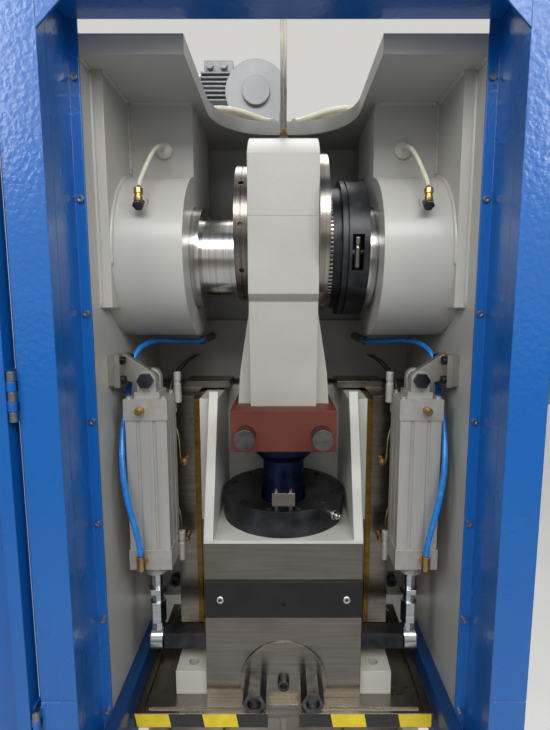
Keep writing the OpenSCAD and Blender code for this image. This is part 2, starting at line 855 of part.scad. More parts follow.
// Shaft with its eccentric journal, and the end that carries the clutch
module crankshaft() {
    color(steel) union() {
        bar_x(shaft_x0, 0, crank_z, shaft_r, journal_x0 - shaft_x0);
        bar_x(journal_x0, 0, journal_z, journal_r, journal_x1 - journal_x0);
        bar_x(journal_x1, 0, crank_z, shaft_r, wall_outer + 9 - journal_x1);
        bar_x(wall_outer, 0, crank_z, 60, guard_x0 + guard_w - 12 - wall_outer);
    }
}

// Hub of the clutch and brake, on which the flywheel runs
module clutch_hub() {
    x1 = guard_x0 + guard_w - 12;
    color("#54585b") difference() {
        union() {
            bar_x(wall_outer + 9.5, 0, crank_z, hub_r, x1 - wall_outer - 9.5);
            bar_x(flywheel_x + flywheel_w + part_gap, 0, crank_z, hub_r + 22, 10);
        }
        bar_x(wall_outer, 0, crank_z, 60, x1 - wall_outer + 10);
    }
}

// Sectors of a face tooth ring round the journal
module face_teeth(phase) {
    pitch = 360 / coupling_teeth;
    half = pitch * 0.24;
    translate([tooth_x, 0, journal_z]) rotate([90, 0, 90]) linear_extrude(tooth_h)
        for (k = [0 : coupling_teeth - 1]) rotate((k + phase) * pitch)
            polygon([[tooth_in, -tooth_in * tan(half)], [toothed_r, -toothed_r * tan(half)],
                [toothed_r, toothed_r * tan(half)], [tooth_in, tooth_in * tan(half)]]);
}

// The bush sets the stroke: its outside is eccentric to the journal that it turns on
module stroke_bush() {
    color("#cfd2d4") difference() {
        union() {
            bar_x(ring_x + part_gap, 0, big_end_z, bush_r, flange_x - ring_x);
            bar_x(flange_x, 0, big_end_z, flange_r, flange_w);
            face_teeth(0);
        }
        bar_x(ring_x - 1, 0, journal_z, journal_r + fit_gap, tooth_x + tooth_h - ring_x + 2);
    }
}

// The steel ring is screwed on the left end of the bush, with holes for a pin spanner
module locking_ring() {
    holes = 10;
    mid = ring_x + ring_w / 2;
    color(steel) difference() {
        bar_x(ring_x, 0, big_end_z, ring_r, ring_w);
        bar_x(ring_x - 1, 0, big_end_z, bush_r + 0.02, ring_w + 2);
        difference() {
            bar_x(mid - 0.7, 0, big_end_z, ring_r + 1, 1.4);
            bar_x(mid - 1.7, 0, big_end_z, ring_r - 1, 3.4);
        }
        for (k = [0 : holes - 1])
            translate([mid, 0, big_end_z]) rotate([(k + 0.5) * 360 / holes, 0, 0])
                translate([0, 0, bush_r + 3]) cylinder(r = 4.5, h = ring_r);
    }
}

// The black ring is keyed to the journal and locks the bush through the teeth
module toothed_ring() {
    color(black) difference() {
        union() {
            bar_x(toothed_x, 0, journal_z, toothed_r, toothed_w);
            face_teeth(0.5);
        }
        bar_x(tooth_x - 1, 0, journal_z, journal_r + fit_gap, tooth_h + toothed_w + 2);
    }
}

// The nut that presses the toothed rings together: deep windows round it, each with a pin across
// it, and a clip bar held by one screw
module slotted_nut() {
    windows = 4;
    phase = 8.5;
    window_x = nut_x + 16;
    window_l = 20;
    window_d = 28;
    color(black) difference() {
        bar_x(nut_x, 0, journal_z, nut_r, nut_w);
        bar_x(nut_x - 1, 0, journal_z, journal_r + fit_gap, nut_w + 2);
        difference() {
            bar_x(nut_x + 8, 0, journal_z, nut_r + 1, 3);
            bar_x(nut_x + 7, 0, journal_z, nut_r - 5, 5);
        }
        for (k = [0 : windows - 1])
            translate([window_x, 0, journal_z]) rotate([k * 360 / windows + phase, 0, 0])
                translate([0, -30, nut_r - window_d]) cube([window_l, 60, window_d + 10]);
    }
    color(steel) for (k = [0 : windows - 1])
        translate([window_x - 1, 0, journal_z]) rotate([k * 360 / windows + phase, 0, 0])
            translate([0, 0, nut_r - 15]) rotate([0, 90, 0]) cylinder(r = 5, h = window_l + 2);
    color(black) translate([nut_x + 38, 0, journal_z]) rotate([phase, 0, 0]) {
        block(-1, 7, -26, 26, nut_r - 4, nut_r + 3);
        translate([3, 14, nut_r + 3]) socket_head(4, 3);
    }
}

// Connecting rod

// Big end as seen along X: round, with a flat in front and behind
module big_end_outline() {
    intersection() {
        translate([0, big_end_z]) circle(r = big_end_r);
        translate([-big_end_flat, big_end_z - big_end_r]) square([2 * big_end_flat, 2 * big_end_r]);
    }
}

module conrod() {
    split_z = big_end_z + split_up;
    shank_front = 85;
    flare_top = 1872;
    wing_half = 85;
    color(paint) difference() {
        union() {
            plate_x(-rod_half, 2 * rod_half) difference() {
                big_end_outline();
                translate([-big_end_r, split_z]) square([2 * big_end_r, big_end_r]);
            }
            plate_x(-rod_half, 2 * rod_half) polygon([
                [-shank_front, rod_bottom], [shank_front, rod_bottom],
                [big_end_flat - 8, big_end_z - 90], [-big_end_flat + 8, big_end_z - 90]]);
            plate_y(-60, 120) polygon([
                [-wing_half, rod_bottom], [wing_half, rod_bottom], [wing_half - 4, rod_bottom + 60],
                [rod_half, flare_top], [-rod_half, flare_top],
                [-wing_half + 4, rod_bottom + 60]]);
        }
        bar_x(-rod_half - 1, 0, big_end_z, bush_r + fit_gap, 2 * rod_half + 2);
        both_sides() bar_x(rod_half, 0, big_end_z, flange_r + 1, flange_w + tooth_h);
        translate([0, 0, rod_bottom - 1]) cylinder(r = 30.05, h = 60);
    }
}

module conrod_cap() {
    split_z = big_end_z + split_up;
    color(paint) difference() {
        union() {
            plate_x(-rod_half, 2 * rod_half) intersection() {
                big_end_outline();
                translate([-big_end_r, split_z]) square([2 * big_end_r, big_end_r]);
            }
            translate([0, 0, big_end_z + big_end_r - 3]) cylinder(r = 11, h = 12);
        }
        bar_x(-rod_half - 1, 0, big_end_z, bush_r + fit_gap, 2 * rod_half + 2);
    }
}

module clamp_block() {
    color("#7c3a2a") difference() {
        block(-clamp_half, clamp_half, -clamp_front, clamp_front - 30, clamp_z, rod_bottom);
        translate([0, 0, clamp_z - 1]) cylinder(r = 30.05, h = clamp_h + 2);
        block(-1.5, 1.5, 30, clamp_front, clamp_z - 1, rod_bottom + 1);
        for (x = [-67, 67]) bar_y(x, -clamp_front - 1, clamp_z + 31, 11.05, 2 * clamp_front);
    }
}

module clamp_bolts() {
    color(black) for (x = [-67, 67]) {
        bar_y(x, -clamp_front - 36, clamp_z + 31, 11, 2 * clamp_front);
        difference() {
            bar_y(x, -clamp_front - 36, clamp_z + 31, 18, 36);
            bar_y(x, -clamp_front - 37, clamp_z + 31, 8, 14);
        }
        translate([x, clamp_front - 30, clamp_z + 31]) rotate([-90, 0, 0]) difference() {
            hexagon(32, 18);
            translate([0, 0, -1]) cylinder(r = 11, h = 20);
        }
    }
}

// Screw spindle of the ball joint, with a round collar that is chamfered below
module ball_spindle() {
    collar_r = 60;
    collar_h = 32;
    chamfer = 14;
    collar_z = clamp_z - collar_h;
    color("#26345c") union() {
        translate([0, 0, clamp_z - 10]) cylinder(r = 30, h = clamp_h + 60);
        translate([0, 0, collar_z]) cylinder(r = collar_r, h = collar_h - part_gap);
        translate([0, 0, collar_z - chamfer])
            cylinder(r1 = collar_r - chamfer, r2 = collar_r, h = chamfer);
        translate([0, 0, ball_z]) cylinder(r = neck_r, h = collar_z - ball_z);
        translate([0, 0, ball_z]) sphere(r = ball_r);
    }
}

// The two cream oil tubes stand on the cap and pass the guide above
module conrod_tubes() {
    tube_r = 3.5;
    base_z = big_end_z + big_end_r + 9;
    tube_l = cover_top + 2 * throw + 14 - base_z;
    color(cream) for (x = [-5, 5]) translate([x, 0, base_z]) cylinder(r = tube_r, h = tube_l);
    color(brass) difference() {
        translate([0, 0, base_z]) hexagon(24, 16);
        for (x = [-5, 5]) translate([x, 0, base_z - 1]) cylinder(r = tube_r, h = 18);
    }
}

// Slide

module slide() {
    wall_front = 34;
    color(steel) difference() {
        union() {
            block(-slide_half, slide_half, -slide_front, -guide_front, slide_z, pocket_z);
            block(-guide_half, guide_half, -guide_front, slide_rear, slide_z, rail_top - 6);
            plate_x(-slide_half, 2 * slide_half) polygon([
                [-slide_front, pocket_z], [-guide_front, pocket_z], [-guide_front, slide_top],
                [-wall_front, slide_top]]);
        }
        block(-pocket_half, pocket_half, -slide_front - 1, slide_rear - 18, pocket_z, slide_top + 1);
        translate([0, 0, ball_z - ball_r - 12]) cylinder(r = cavity_r, h = pocket_z);
        translate([0, 0, slide_z - 1]) cylinder(r = shank_r, h = 71);
        bar_y(0, -slide_front - 1, shank_z, 8, slide_front);
    }
}

// The disc over the ball, slotted towards the front, where the neck swings
module ball_retainer() {
    color(black) difference() {
        translate([0, 0, pocket_z]) cylinder(r = retainer_r, h = disc_top - pocket_z);
        for (y = [0, -throw]) translate([0, y, pocket_z - 1])
            cylinder(r = disc_slot_half, h = retainer_t + 10);
        block(-disc_slot_half, disc_slot_half, -throw, 0, pocket_z - 1, disc_top + 1);
        for (k = [0 : 11]) rotate(k * 30 + 15)
            translate([retainer_screw_r, 0, disc_top - 6]) cylinder(r = 8, h = 8);
        rotate(-40) translate([retainer_r - 10, 0, pocket_z + 26]) rotate([0, 90, 0])
            cylinder(r = 6, h = 20);
    }
}

module retainer_screws() {
    color("#3a3c3f") for (k = [0 : 11]) rotate(k * 30 + 15)
        translate([retainer_screw_r, 0, disc_top - 6]) socket_head(7.5, 8);
    color(brass) rotate(-40) translate([retainer_r - 10, 0, pocket_z + 26]) rotate([0, 90, 0])
        cylinder(r = 5.95, h = 20);
}

// The silver block stands on two pins in front of the spindle
module lock_block() {
    block_front = 113;
    color(steel) {
        block(-21, 21, -block_front, -block_front + 17, disc_top + 7, disc_top + 32);
        for (x = [-13, 13]) translate([x, -block_front + 8, disc_top]) {
            cylinder(r = 5, h = 8);
            translate([0, 0, 31]) socket_head(4.5, 5);
        }
    }
}

module front_strip() {
    strip_z = 1293;
    strip_h = 69;
    strip_t = 5;
    color(black) difference() {
        block(-slide_half, slide_half, -slide_front - strip_t, -slide_front, strip_z,
            strip_z + strip_h);
        bar_y(0, -slide_front - strip_t - 1, strip_z + 26, 3, strip_t);
    }
    color(steel) for (x = [-115, 115])
        translate([x, -slide_front - strip_t, strip_z + 36]) rotate([90, 0, 0]) socket_head(7, 3);
}

// Round clamp cap for the die's shank, cut off level with the underside of the slide
module shank_clamp() {
    cap_r = 81;
    face_y = -slide_front - clamp_cap_t;
    color(steel) difference() {
        bar_y(0, face_y, shank_z, cap_r, clamp_cap_t);
        block(-cap_r - 1, cap_r + 1, face_y - 1, -slide_front + 1, slide_z - cap_r, slide_z);
        bar_y(0, face_y - 1, shank_z, 11, clamp_cap_t + 2);
    }
}

module clamp_nuts() {
    nut_l = 50;
    color(black) {
        for (x = [-52, 52]) translate([x, -slide_front - clamp_cap_t, shank_z]) rotate([90, 0, 0])
            difference() {
                hexagon(36, nut_l);
                translate([0, 0, nut_l - 8]) cylinder(r = 12, h = 10);
            }
        translate([0, -slide_front, shank_z]) rotate([90, 0, 0]) socket_head(10.9, 14);
    }
}

module ram_plate() {
    slot_half = 28.5;
    slot_depth = 19;
    color(steel) difference() {
        block(-ram_half, ram_half, -ram_front, slide_rear, slide_z - ram_t, slide_z);
        block(-slot_half, slot_half, -ram_front - 1, -ram_front + slot_depth,
            slide_z - ram_t - 1, slide_z + 1);
        translate([0, 0, slide_z - ram_t - 1]) cylinder(r = shank_r, h = ram_t + 2);
        both_sides() {
            block(ram_half - 22, ram_half - 14, -ram_front + 14, slide_rear - 14, slide_z - 5,
                slide_z + 1);
            block(slot_half + 18, ram_half - 14, -ram_front + 6, -ram_front + 14, slide_z - 5,
                slide_z + 1);
            for (x = [80, 170, 245]) translate([x, 100, slide_z - ram_t - 1])
                cylinder(r = 7, h = ram_t + 2);
        }
    }
}

module stop_blocks() {
    color(cream) both_sides() difference() {
        block(slide_half, slide_half + 60, -slide_front + 9, -60, slide_z, slide_z + 47);
        translate([slide_half + 30, -95, slide_z + 30]) cylinder(r = 9, h = 20);
    }
}

// Bars that carry the rod eyes of the cylinders
module lift_bars() {
    half = 15;
    color(black) both_sides() {
        block(slide_half, cyl_x - 12, -cyl_y - half, -cyl_y + half, eye_z - half, eye_z + half);
        bar_x(cyl_x - 12, -cyl_y, eye_z, 7.95, 30);
    }
}

module piston_rods() {
    color("#c9cccf") both_sides() translate([cyl_x, -cyl_y, 0]) {
        translate([0, 0, eye_z + 21]) cylinder(r = rod_r, h = piston_z - eye_z - 21);
        translate([0, 0, piston_z]) cylinder(r = cyl_bore / 2 - fit_gap, h = 20);
        translate([0, 0, eye_z + 92]) hexagon(30, 10);
        translate([0, 0, eye_z + 34]) hexagon(26, 40);
        difference() {
            union() {
                translate([-11, 0, eye_z]) rotate([0, 90, 0]) cylinder(r = 23, h = 22);
                translate([0, 0, eye_z + 15]) cylinder(r = 12, h = 20);
            }
            translate([-12, 0, eye_z]) rotate([0, 90, 0]) cylinder(r = 8, h = 24);
        }
    }
}

// Door

// Knuckles of one hinge body round the pin: the listed fifths of the hinge's length
module knuckles(fifths) {
    for (z = hinge_zs, k = fifths)
        translate([hinge_x, hinge_y, z + k * knuckle_l + part_gap / 2])
            cylinder(r = hinge_r, h = knuckle_l - part_gap);
}

// A hinge leaf between x0 and x1, with a tongue to each of its knuckles at knuckle_x
module leaf(x0, x1, knuckle_x, fifths) {
    leaf_y = hinge_y + 7;
    for (z = hinge_zs) {
        block(x0, x1, leaf_y, leaf_y + 27, z, z + hinge_l);
        for (k = fifths) block(min(x0, knuckle_x), max(x1, knuckle_x), hinge_y, leaf_y + 1,
            z + k * knuckle_l + part_gap / 2, z + (k + 1) * knuckle_l - part_gap / 2);
    }
}

// The door lies open, in line with the front face
module door() {
    rim = 20;
    back = door_y + door_t;
    mid_z = (door_z + door_top) / 2;
    color(blue) {
        difference() {
            block(door_x - door_w, door_x, door_y, back, door_z, door_top);
            block(door_x - door_w + rim, door_x - rim, door_y - 1, back - sheet_t, door_z + rim,
                door_top - rim);
        }
        block(door_x - door_w + rim, door_x - rim, back - 12, back - 2, mid_z - 20, mid_z + 20);
    }
    color(black) block(door_x - door_w + 34, door_x - door_w + 60, back, back + 24, mid_z - 120,
        mid_z);
    color(steel) difference() {
        union() {
            knuckles([1, 3]);
            leaf(door_x, door_x + 3, hinge_x - 1, [1, 3]);
        }
        for (z = hinge_zs) translate([hinge_x, hinge_y, z - 1])
            cylinder(r = hinge_pin_r + fit_gap, h = hinge_l + 2);
    }
}

// Fixed hinge knuckles with their pins and the leaf on the side of the cover
module door_hinges() {
    color(steel) {
        for (z = hinge_zs) translate([hinge_x, hinge_y, z]) cylinder(r = hinge_pin_r, h = hinge_l);
        knuckles([0, 2, 4]);
        leaf(-cover_half - 3, -cover_half, hinge_x + 1, [0, 2, 4]);
    }
}

side_plate_left();
side_plate_right();
crown_plate();
rear_plate();
bearing_box_left();
bearing_box_right();
bed();
bolster_plate();
levelling_feet();
cover_left();
cover_right();
cover_header();
cover_apron();
cover_screws();
guide_rail_left();
guide_rail_right();
guide_liners();
frame_screws();
grease_nipples();
main_bearings();
seal_rings();
oil_pipes();
cylinder_barrels();
drive_belts();
cylinder_caps();
cylinder_brackets();
air_elbows();
air_tubes();
gear_motor();
hose_bundles();
hose_guide();
main_motor();
guard();
crankshaft();
stroke_bush();
locking_ring();
toothed_ring();
slotted_nut();
clutch_hub();
conrod();
conrod_cap();
clamp_block();
clamp_bolts();
ball_spindle();
conrod_tubes();
slide();
ball_retainer();
retainer_screws();
lock_block();
front_strip();
shank_clamp();
clamp_nuts();
ram_plate();
stop_blocks();
lift_bars();
piston_rods();
door();
door_hinges();
flywheel();
motor_pulley();
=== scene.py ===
import math
import bmesh
import bpy
import numpy as np
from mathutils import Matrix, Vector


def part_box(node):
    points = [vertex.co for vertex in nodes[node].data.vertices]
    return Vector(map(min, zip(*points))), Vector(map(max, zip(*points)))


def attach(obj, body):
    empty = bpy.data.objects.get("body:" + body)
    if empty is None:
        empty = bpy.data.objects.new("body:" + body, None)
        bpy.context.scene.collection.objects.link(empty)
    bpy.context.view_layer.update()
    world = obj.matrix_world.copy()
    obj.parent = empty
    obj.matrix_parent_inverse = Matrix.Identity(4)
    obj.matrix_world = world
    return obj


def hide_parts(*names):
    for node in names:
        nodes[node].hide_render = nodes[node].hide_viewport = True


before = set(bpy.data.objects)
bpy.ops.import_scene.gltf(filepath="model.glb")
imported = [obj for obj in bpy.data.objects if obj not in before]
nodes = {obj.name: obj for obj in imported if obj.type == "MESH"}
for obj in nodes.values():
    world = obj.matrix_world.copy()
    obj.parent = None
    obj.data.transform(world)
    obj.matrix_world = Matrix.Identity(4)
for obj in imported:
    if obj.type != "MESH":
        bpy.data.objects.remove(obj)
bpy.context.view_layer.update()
scene = bpy.context.scene

# Camera: stands at eye height in front of the open cover and looks slightly down.
# The lens keeps the photograph's frame of 550 x 730, whose width spans a 36 mm sensor.
PHOTO_W = 550
FOCAL_PX = 470
MIDDLE_SHIFT_PX = 8.5
SENSOR_MM = 36
EYE = (0, -0.930, 1.862)
LOOKS_DOWN_DEG = 7.32
camera_data = bpy.data.cameras.new("camera")
camera_data.sensor_fit = "HORIZONTAL"
camera_data.sensor_width = SENSOR_MM
camera_data.lens = FOCAL_PX / PHOTO_W * SENSOR_MM
camera_data.shift_x = -MIDDLE_SHIFT_PX / PHOTO_W
camera_data.clip_start = 0.02
camera = bpy.data.objects.new("camera", camera_data)
camera.location = EYE
camera.rotation_euler = (math.radians(90 - LOOKS_DOWN_DEG), 0, 0)
scene.collection.objects.link(camera)
scene.camera = camera


# Light: broad soft lamps of a bright hall, one high over the viewer, one high on each side
# and one behind the crown. The world is dim, so that the frame's inside stays in shade.
def soft_lamp(name, place, look_at, size, power):
    """An area lamp of the given size in metres, aimed from place at look_at."""
    data = bpy.data.lights.new(name, "AREA")
    data.shape = "RECTANGLE"
    data.size, data.size_y = size
    data.energy = power
    lamp = bpy.data.objects.new(name, data)
    lamp.location = place
    aim = np.subtract(look_at, place)
    flat = math.hypot(aim[0], aim[1])
    lamp.rotation_euler = (math.atan2(flat, -aim[2]), 0, math.atan2(aim[1], aim[0]) - math.pi / 2)
    scene.collection.objects.link(lamp)


soft_lamp("front_lamp", (0.1, -2.5, 3.7), (0, 0, 1.5), (2.4, 0.9), 62)
soft_lamp("left_lamp", (-1.9, -2.2, 3.25), (0, 0, 1.4), (0.9, 1.2), 25)
soft_lamp("right_lamp", (1.9, -2.2, 3.2), (0, 0, 1.4), (0.9, 1.2), 25)
soft_lamp("crown_lamp", (0, 1.2, 3.9), (0, 0.2, 2.2), (1.8, 1.2), 28)


def linear(code, alpha=1.0):
    """Linear RGBA of an sRGB hex colour such as c9ccce."""
    srgb = np.array([int(code[k:k + 2], 16) for k in (0, 2, 4)]) / 255
    rgb = np.where(srgb <= 0.04045, srgb / 12.92, ((srgb + 0.055) / 1.055) ** 2.4)
    return (*rgb, alpha)


def add(tree, kind, inputs=None, stops=None, **settings):
    """Adds one node, sets its properties and colour stops, and sets or links its inputs."""
    node = tree.nodes.new("ShaderNode" + kind)
    for name, value in settings.items():
        setattr(node, name, value)
    for name, value in (inputs or {}).items():
        if isinstance(value, bpy.types.NodeSocket):
            tree.links.new(value, node.inputs[name])
        else:
            node.inputs[name].default_value = value
    if stops:
        marks = node.color_ramp.elements
        for mark, (position, colour) in zip((marks[0], marks[-1]), (stops[0], stops[-1])):
            mark.position, mark.color = position, colour
        for position, colour in stops[1:-1]:
            marks.new(position).color = colour
    return node


# The hall's pale wall is seen by the camera and mirrored in metal, and lights less.
HALL_LIGHT = 0.26
HALL_SEEN = 0.72
world = bpy.data.worlds.new("hall")
world.use_nodes = True
ray = add(world.node_tree, "LightPath").outputs
seen = add(world.node_tree, "Math", {0: ray["Is Camera Ray"], 1: ray["Is Glossy Ray"]},
           operation="MAXIMUM")
seen = add(world.node_tree, "Math", {0: seen.outputs[0], 1: ray["Is Transmission Ray"]},
           operation="MAXIMUM")
strength = add(world.node_tree, "MapRange", {"Value": seen.outputs[0], "To Min": HALL_LIGHT,
                                             "To Max": HALL_SEEN})
hall = world.node_tree.nodes["Background"]
hall.inputs["Color"].default_value = linear("f4f2ee")
world.node_tree.links.new(strength.outputs["Result"], hall.inputs["Strength"])
scene.world = world
scene.view_settings.view_transform = "Standard"


# Air tubes: blue polyurethane hose, 10 mm outside, from the lower port of each counterbalance
# cylinder up along the side plate to a plug under the bearing housing. It is pushed into both
# fittings and bows a little.
def new_finish(name, metallic=0.0, coat=0.0):
    """A new material with its principled shader, its output and Object coordinates."""
    material = bpy.data.materials.new(name)
    material.use_nodes = True
    tree = material.node_tree
    tree.nodes.clear()
    shader = add(tree, "BsdfPrincipled", {"Metallic": metallic, "Coat Weight": coat,
                                          "Coat Roughness": 0.12})
    add(tree, "OutputMaterial", {"Surface": shader.outputs["BSDF"]})
    return material, tree, shader, add(tree, "TexCoord").outputs["Object"]


def extruded_plastic(name, code, shade, rough=0.3):
    """Extruded tube: a soft gloss, a faint waviness 17 mm long, and light that enters a little."""
    material, tree, shader, place = new_finish(name)
    wave = add(tree, "TexNoise", {"Vector": place, "Scale": 60.0, "Detail": 2.0}).outputs["Fac"]
    colour = add(tree, "ValToRGB", {"Fac": wave}, [(0.35, linear(shade)), (0.65, linear(code))])
    bump = add(tree, "Bump", {"Height": wave, "Distance": 0.0002, "Strength": 0.3})
    gloss = add(tree, "MapRange", {"Value": wave, "From Min": 0.3, "From Max": 0.7,
                                   "To Min": rough - 0.04, "To Max": rough + 0.06})
    tree.links.new(colour.outputs["Color"], shader.inputs["Base Color"])
    tree.links.new(gloss.outputs["Result"], shader.inputs["Roughness"])
    tree.links.new(bump.outputs["Normal"], shader.inputs["Normal"])
    shader.inputs["Subsurface Weight"].default_value = 0.15
    shader.inputs["Subsurface Radius"].default_value = (0.004, 0.004, 0.004)
    return material


SHARP_OVER_DEG = 38


def surface(name, points, material, body):
    """A closed piece from a grid of points: each row is a ring round the piece, and rows run
    along it. Rows join in four-sided faces, and the two end rows are filled."""
    rows, columns = points.shape[:2]
    index = np.arange(rows * columns).reshape(rows, columns)
    ahead = np.roll(index, -1, axis=1)
    quads = np.stack([index[:-1], ahead[:-1], ahead[1:], index[1:]], axis=-1).reshape(-1, 4)
    ends = [index[0][::-1].tolist(), index[-1].tolist()]
    mesh = bpy.data.meshes.new(name)
    mesh.from_pydata(points.reshape(-1, 3).tolist(), [], quads.tolist() + ends)
    loose = bmesh.new()
    loose.from_mesh(mesh)
    bmesh.ops.recalc_face_normals(loose, faces=loose.faces)
    loose.to_mesh(mesh)
    loose.free()
    mesh.polygons.foreach_set("use_smooth", np.ones(len(mesh.polygons), bool))
    mesh.set_sharp_from_angle(angle=math.radians(SHARP_OVER_DEG))
    mesh.materials.append(material)
    piece = bpy.data.objects.new(name, mesh)
    scene.collection.objects.link(piece)
    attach(piece, body)
    return piece


def smooth_route(points, steps=6):
    """Catmull-Rom curve through the points: between two points it is the cubic whose end
    tangents are half the chords between their neighbours, taken at equal steps."""
    p = np.asarray(points, float)
    p = np.vstack([2 * p[0] - p[1], p, 2 * p[-1] - p[-2]])
    a, b, c, d = (p[k:len(p) - 3 + k, None] for k in range(4))
    t = np.linspace(0, 1, steps, endpoint=False)[None, :, None]
    curve = 0.5 * (2 * b + (c - a) * t + (2 * a - 5 * b + 4 * c - d) * t ** 2
                   + (3 * b - a - 3 * c + d) * t ** 3)
    return np.vstack([curve.reshape(-1, 3), p[-2]])


def sprung(route, step, passes):
    """The route at equal steps, eased like a springy hose: each pass moves every point but the
    two ends to a quarter of each neighbour plus half of itself."""
    way = np.r_[0, np.linalg.norm(np.diff(route, axis=0), axis=1).cumsum()]
    even = np.linspace(0, way[-1], round(way[-1] / step))
    eased = np.stack([np.interp(even, way, route[:, k]) for k in range(3)], axis=-1)
    for _ in range(passes):
        eased[1:-1] = (eased[:-2] + 2 * eased[1:-1] + eased[2:]) / 4
    return eased


def ring_round(route, radius, across, sides=16):
    """Rings square to the route: its tangent T, the unit vector N of across x T, and B = T x N
    give centre + radius (cos a N + sin a B). The radius may change along the route."""
    tangent = np.gradient(route, axis=0)
    tangent /= np.linalg.norm(tangent, axis=1)[:, None]
    side = np.cross(across, tangent)
    side /= np.linalg.norm(side, axis=1)[:, None]
    over = np.cross(tangent, side)
    turn = np.linspace(0, 2 * math.pi, sides, endpoint=False)[None, :, None]
    size = np.broadcast_to(radius, len(route))[:, None, None]
    return route[:, None] + size * (np.cos(turn) * side[:, None] + np.sin(turn) * over[:, None])


TUBE_ROUTE_MM = [[248, -161, 1429], [248, -161, 1441], [255, -163, 1478], [267, -162, 1530],
                 [277, -152, 1590], [283, -120, 1650], [284, -90, 1690], [285, -66, 1725],
                 [284, -58, 1755], [274, -40, 1782], [250, -10, 1793], [215, 12, 1790],
                 [188, 30, 1788], [174, 43, 1787], [171, 54, 1787], [171, 64, 1787]]
AIR_TUBE_R = 0.005
EASE_STEP, EASE_PASSES = 0.004, 30
SIDES = ((-1, "left"), (1, "right"))
blue_hose = extruded_plastic("blue_polyurethane_hose", "1f86dd", "1874cb", 0.24)
for side, word in SIDES:
    curve = smooth_route(np.array(TUBE_ROUTE_MM) / 1000 * (side, 1, 1), 40)
    route = sprung(curve, EASE_STEP, EASE_PASSES)
    tube = surface("air_tube_" + word, ring_round(route, AIR_TUBE_R, (1, 0.5, 0)), blue_hose,
                   "frame")
    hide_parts("air_tubes")


# Frame: plates flame-cut and welded, then sprayed light grey. The spray shows orange peel and
# soft patches of gloss, and each weld a rippled bead about 9 mm wide under the paint.
def sprayed_enamel(name, code, shade, peel_mm=2.4, peel_depth=0.00014, rough=0.36, coat=0.15):
    """Paint: two shades in patches 200 mm wide, rounded edges, and orange peel whose bumps are
    peel_mm wide, drawn about twice as coarse as real ones so that they show."""
    material, tree, shader, place = new_finish(name, coat=coat)
    patches = add(tree, "TexNoise", {"Vector": place, "Scale": 5.0, "Detail": 3.0}).outputs["Fac"]
    colour = add(tree, "ValToRGB", {"Fac": patches}, [(0.35, linear(shade)), (0.62, linear(code))])
    gloss = add(tree, "MapRange", {"Value": patches, "From Min": 0.3, "From Max": 0.7,
                                   "To Min": rough + 0.08, "To Max": rough - 0.05})
    peel = add(tree, "TexNoise", {"Vector": place, "Scale": 500 / peel_mm, "Detail": 2.0})
    edge = add(tree, "Bevel", {"Radius": 0.0025}, samples=4).outputs["Normal"]
    bump = add(tree, "Bump", {"Height": peel.outputs["Fac"], "Distance": peel_depth,
                              "Strength": 0.7, "Normal": edge})
    tree.links.new(colour.outputs["Color"], shader.inputs["Base Color"])
    tree.links.new(gloss.outputs["Result"], shader.inputs["Roughness"])
    tree.links.new(bump.outputs["Normal"], shader.inputs["Normal"])
    tree.links.new(bump.outputs["Normal"], shader.inputs["Coat Normal"])
    return material


def dress(names, material):
    """Gives CAD nodes this material."""
    for name in names:
        for slot in nodes[name].material_slots:
            slot.material = material


BEAD_R = 0.0045
RIPPLE = 0.006
RUN_OUT = 0.006


def weld_bead(name, route, across):
    """A bead along the route: its radius swells by a tenth at each ripple and runs down to a
    third at both ends. The plates hide the half of it that lies in them."""
    away = np.linalg.norm(np.diff(route, axis=0, prepend=route[:1]), axis=1).cumsum()
    radius = BEAD_R * (1 + 0.1 * np.cos(2 * math.pi * away / RIPPLE))
    radius = radius * np.clip(np.minimum(away, away[-1] - away) / RUN_OUT, 0.33, 1)
    return surface(name, ring_round(route, radius, across, 8), grey_enamel, "frame")


grey_enamel = sprayed_enamel("grey_sprayed_enamel", "b8b7b1", "b1b0aa")
dress(["side_plate_left", "side_plate_right", "crown_plate", "rear_plate", "bearing_box_left",
       "bearing_box_right", "bed"], grey_enamel)
CRANK_Z, CROWN_Z = 1.950, 2.223
DOUBLER_X, WALL_X, BOX_X = 0.281, 0.300, 0.165
BOX_Y, DOUBLER_Y, WALL_Y = -0.029, -0.151, -0.192
BOX_FOOT_Z, DOUBLER_FOOT_Z = 2.094, 1.857
HOUSING_R = 0.147
ROUND_FROM, ROUND_TO, ROUND_STEP = -2.83, 1.75, 2 * math.pi / 420
BEAD_ROWS = 150
# Each straight bead goes from one corner to the next, with a direction square to it.
CORNER_BEADS = {
    "box_front": ((DOUBLER_X, BOX_Y, BOX_FOOT_Z), (DOUBLER_X, BOX_Y, CROWN_Z), (1, 0, 0)),
    "box_crown": ((BOX_X, BOX_Y, CROWN_Z), (DOUBLER_X, BOX_Y, CROWN_Z), (0, 1, 0)),
    "doubler_edge": ((WALL_X, DOUBLER_Y, DOUBLER_FOOT_Z), (WALL_X, DOUBLER_Y, CROWN_Z), (1, 0, 0)),
    "doubler_crown": ((DOUBLER_X, DOUBLER_Y, CROWN_Z), (DOUBLER_X, BOX_Y, CROWN_Z), (1, 0, 0)),
    "wall_crown": ((WALL_X, WALL_Y, CROWN_Z), (WALL_X, DOUBLER_Y, CROWN_Z), (1, 0, 0)),
}
arc = np.arange(ROUND_FROM + ROUND_STEP, ROUND_TO, ROUND_STEP)
for side, word in SIDES:
    round_housing = np.c_[np.full(len(arc), side * DOUBLER_X), -HOUSING_R * np.sin(arc),
                          CRANK_Z + HOUSING_R * np.cos(arc)]
    weld_bead("weld_housing_" + word, round_housing, (1, 0, 0))
    for part, (first, last, across) in CORNER_BEADS.items():
        weld_bead(f"weld_{part}_{word}", np.linspace(first, last, BEAD_ROWS) * (side, 1, 1), across)


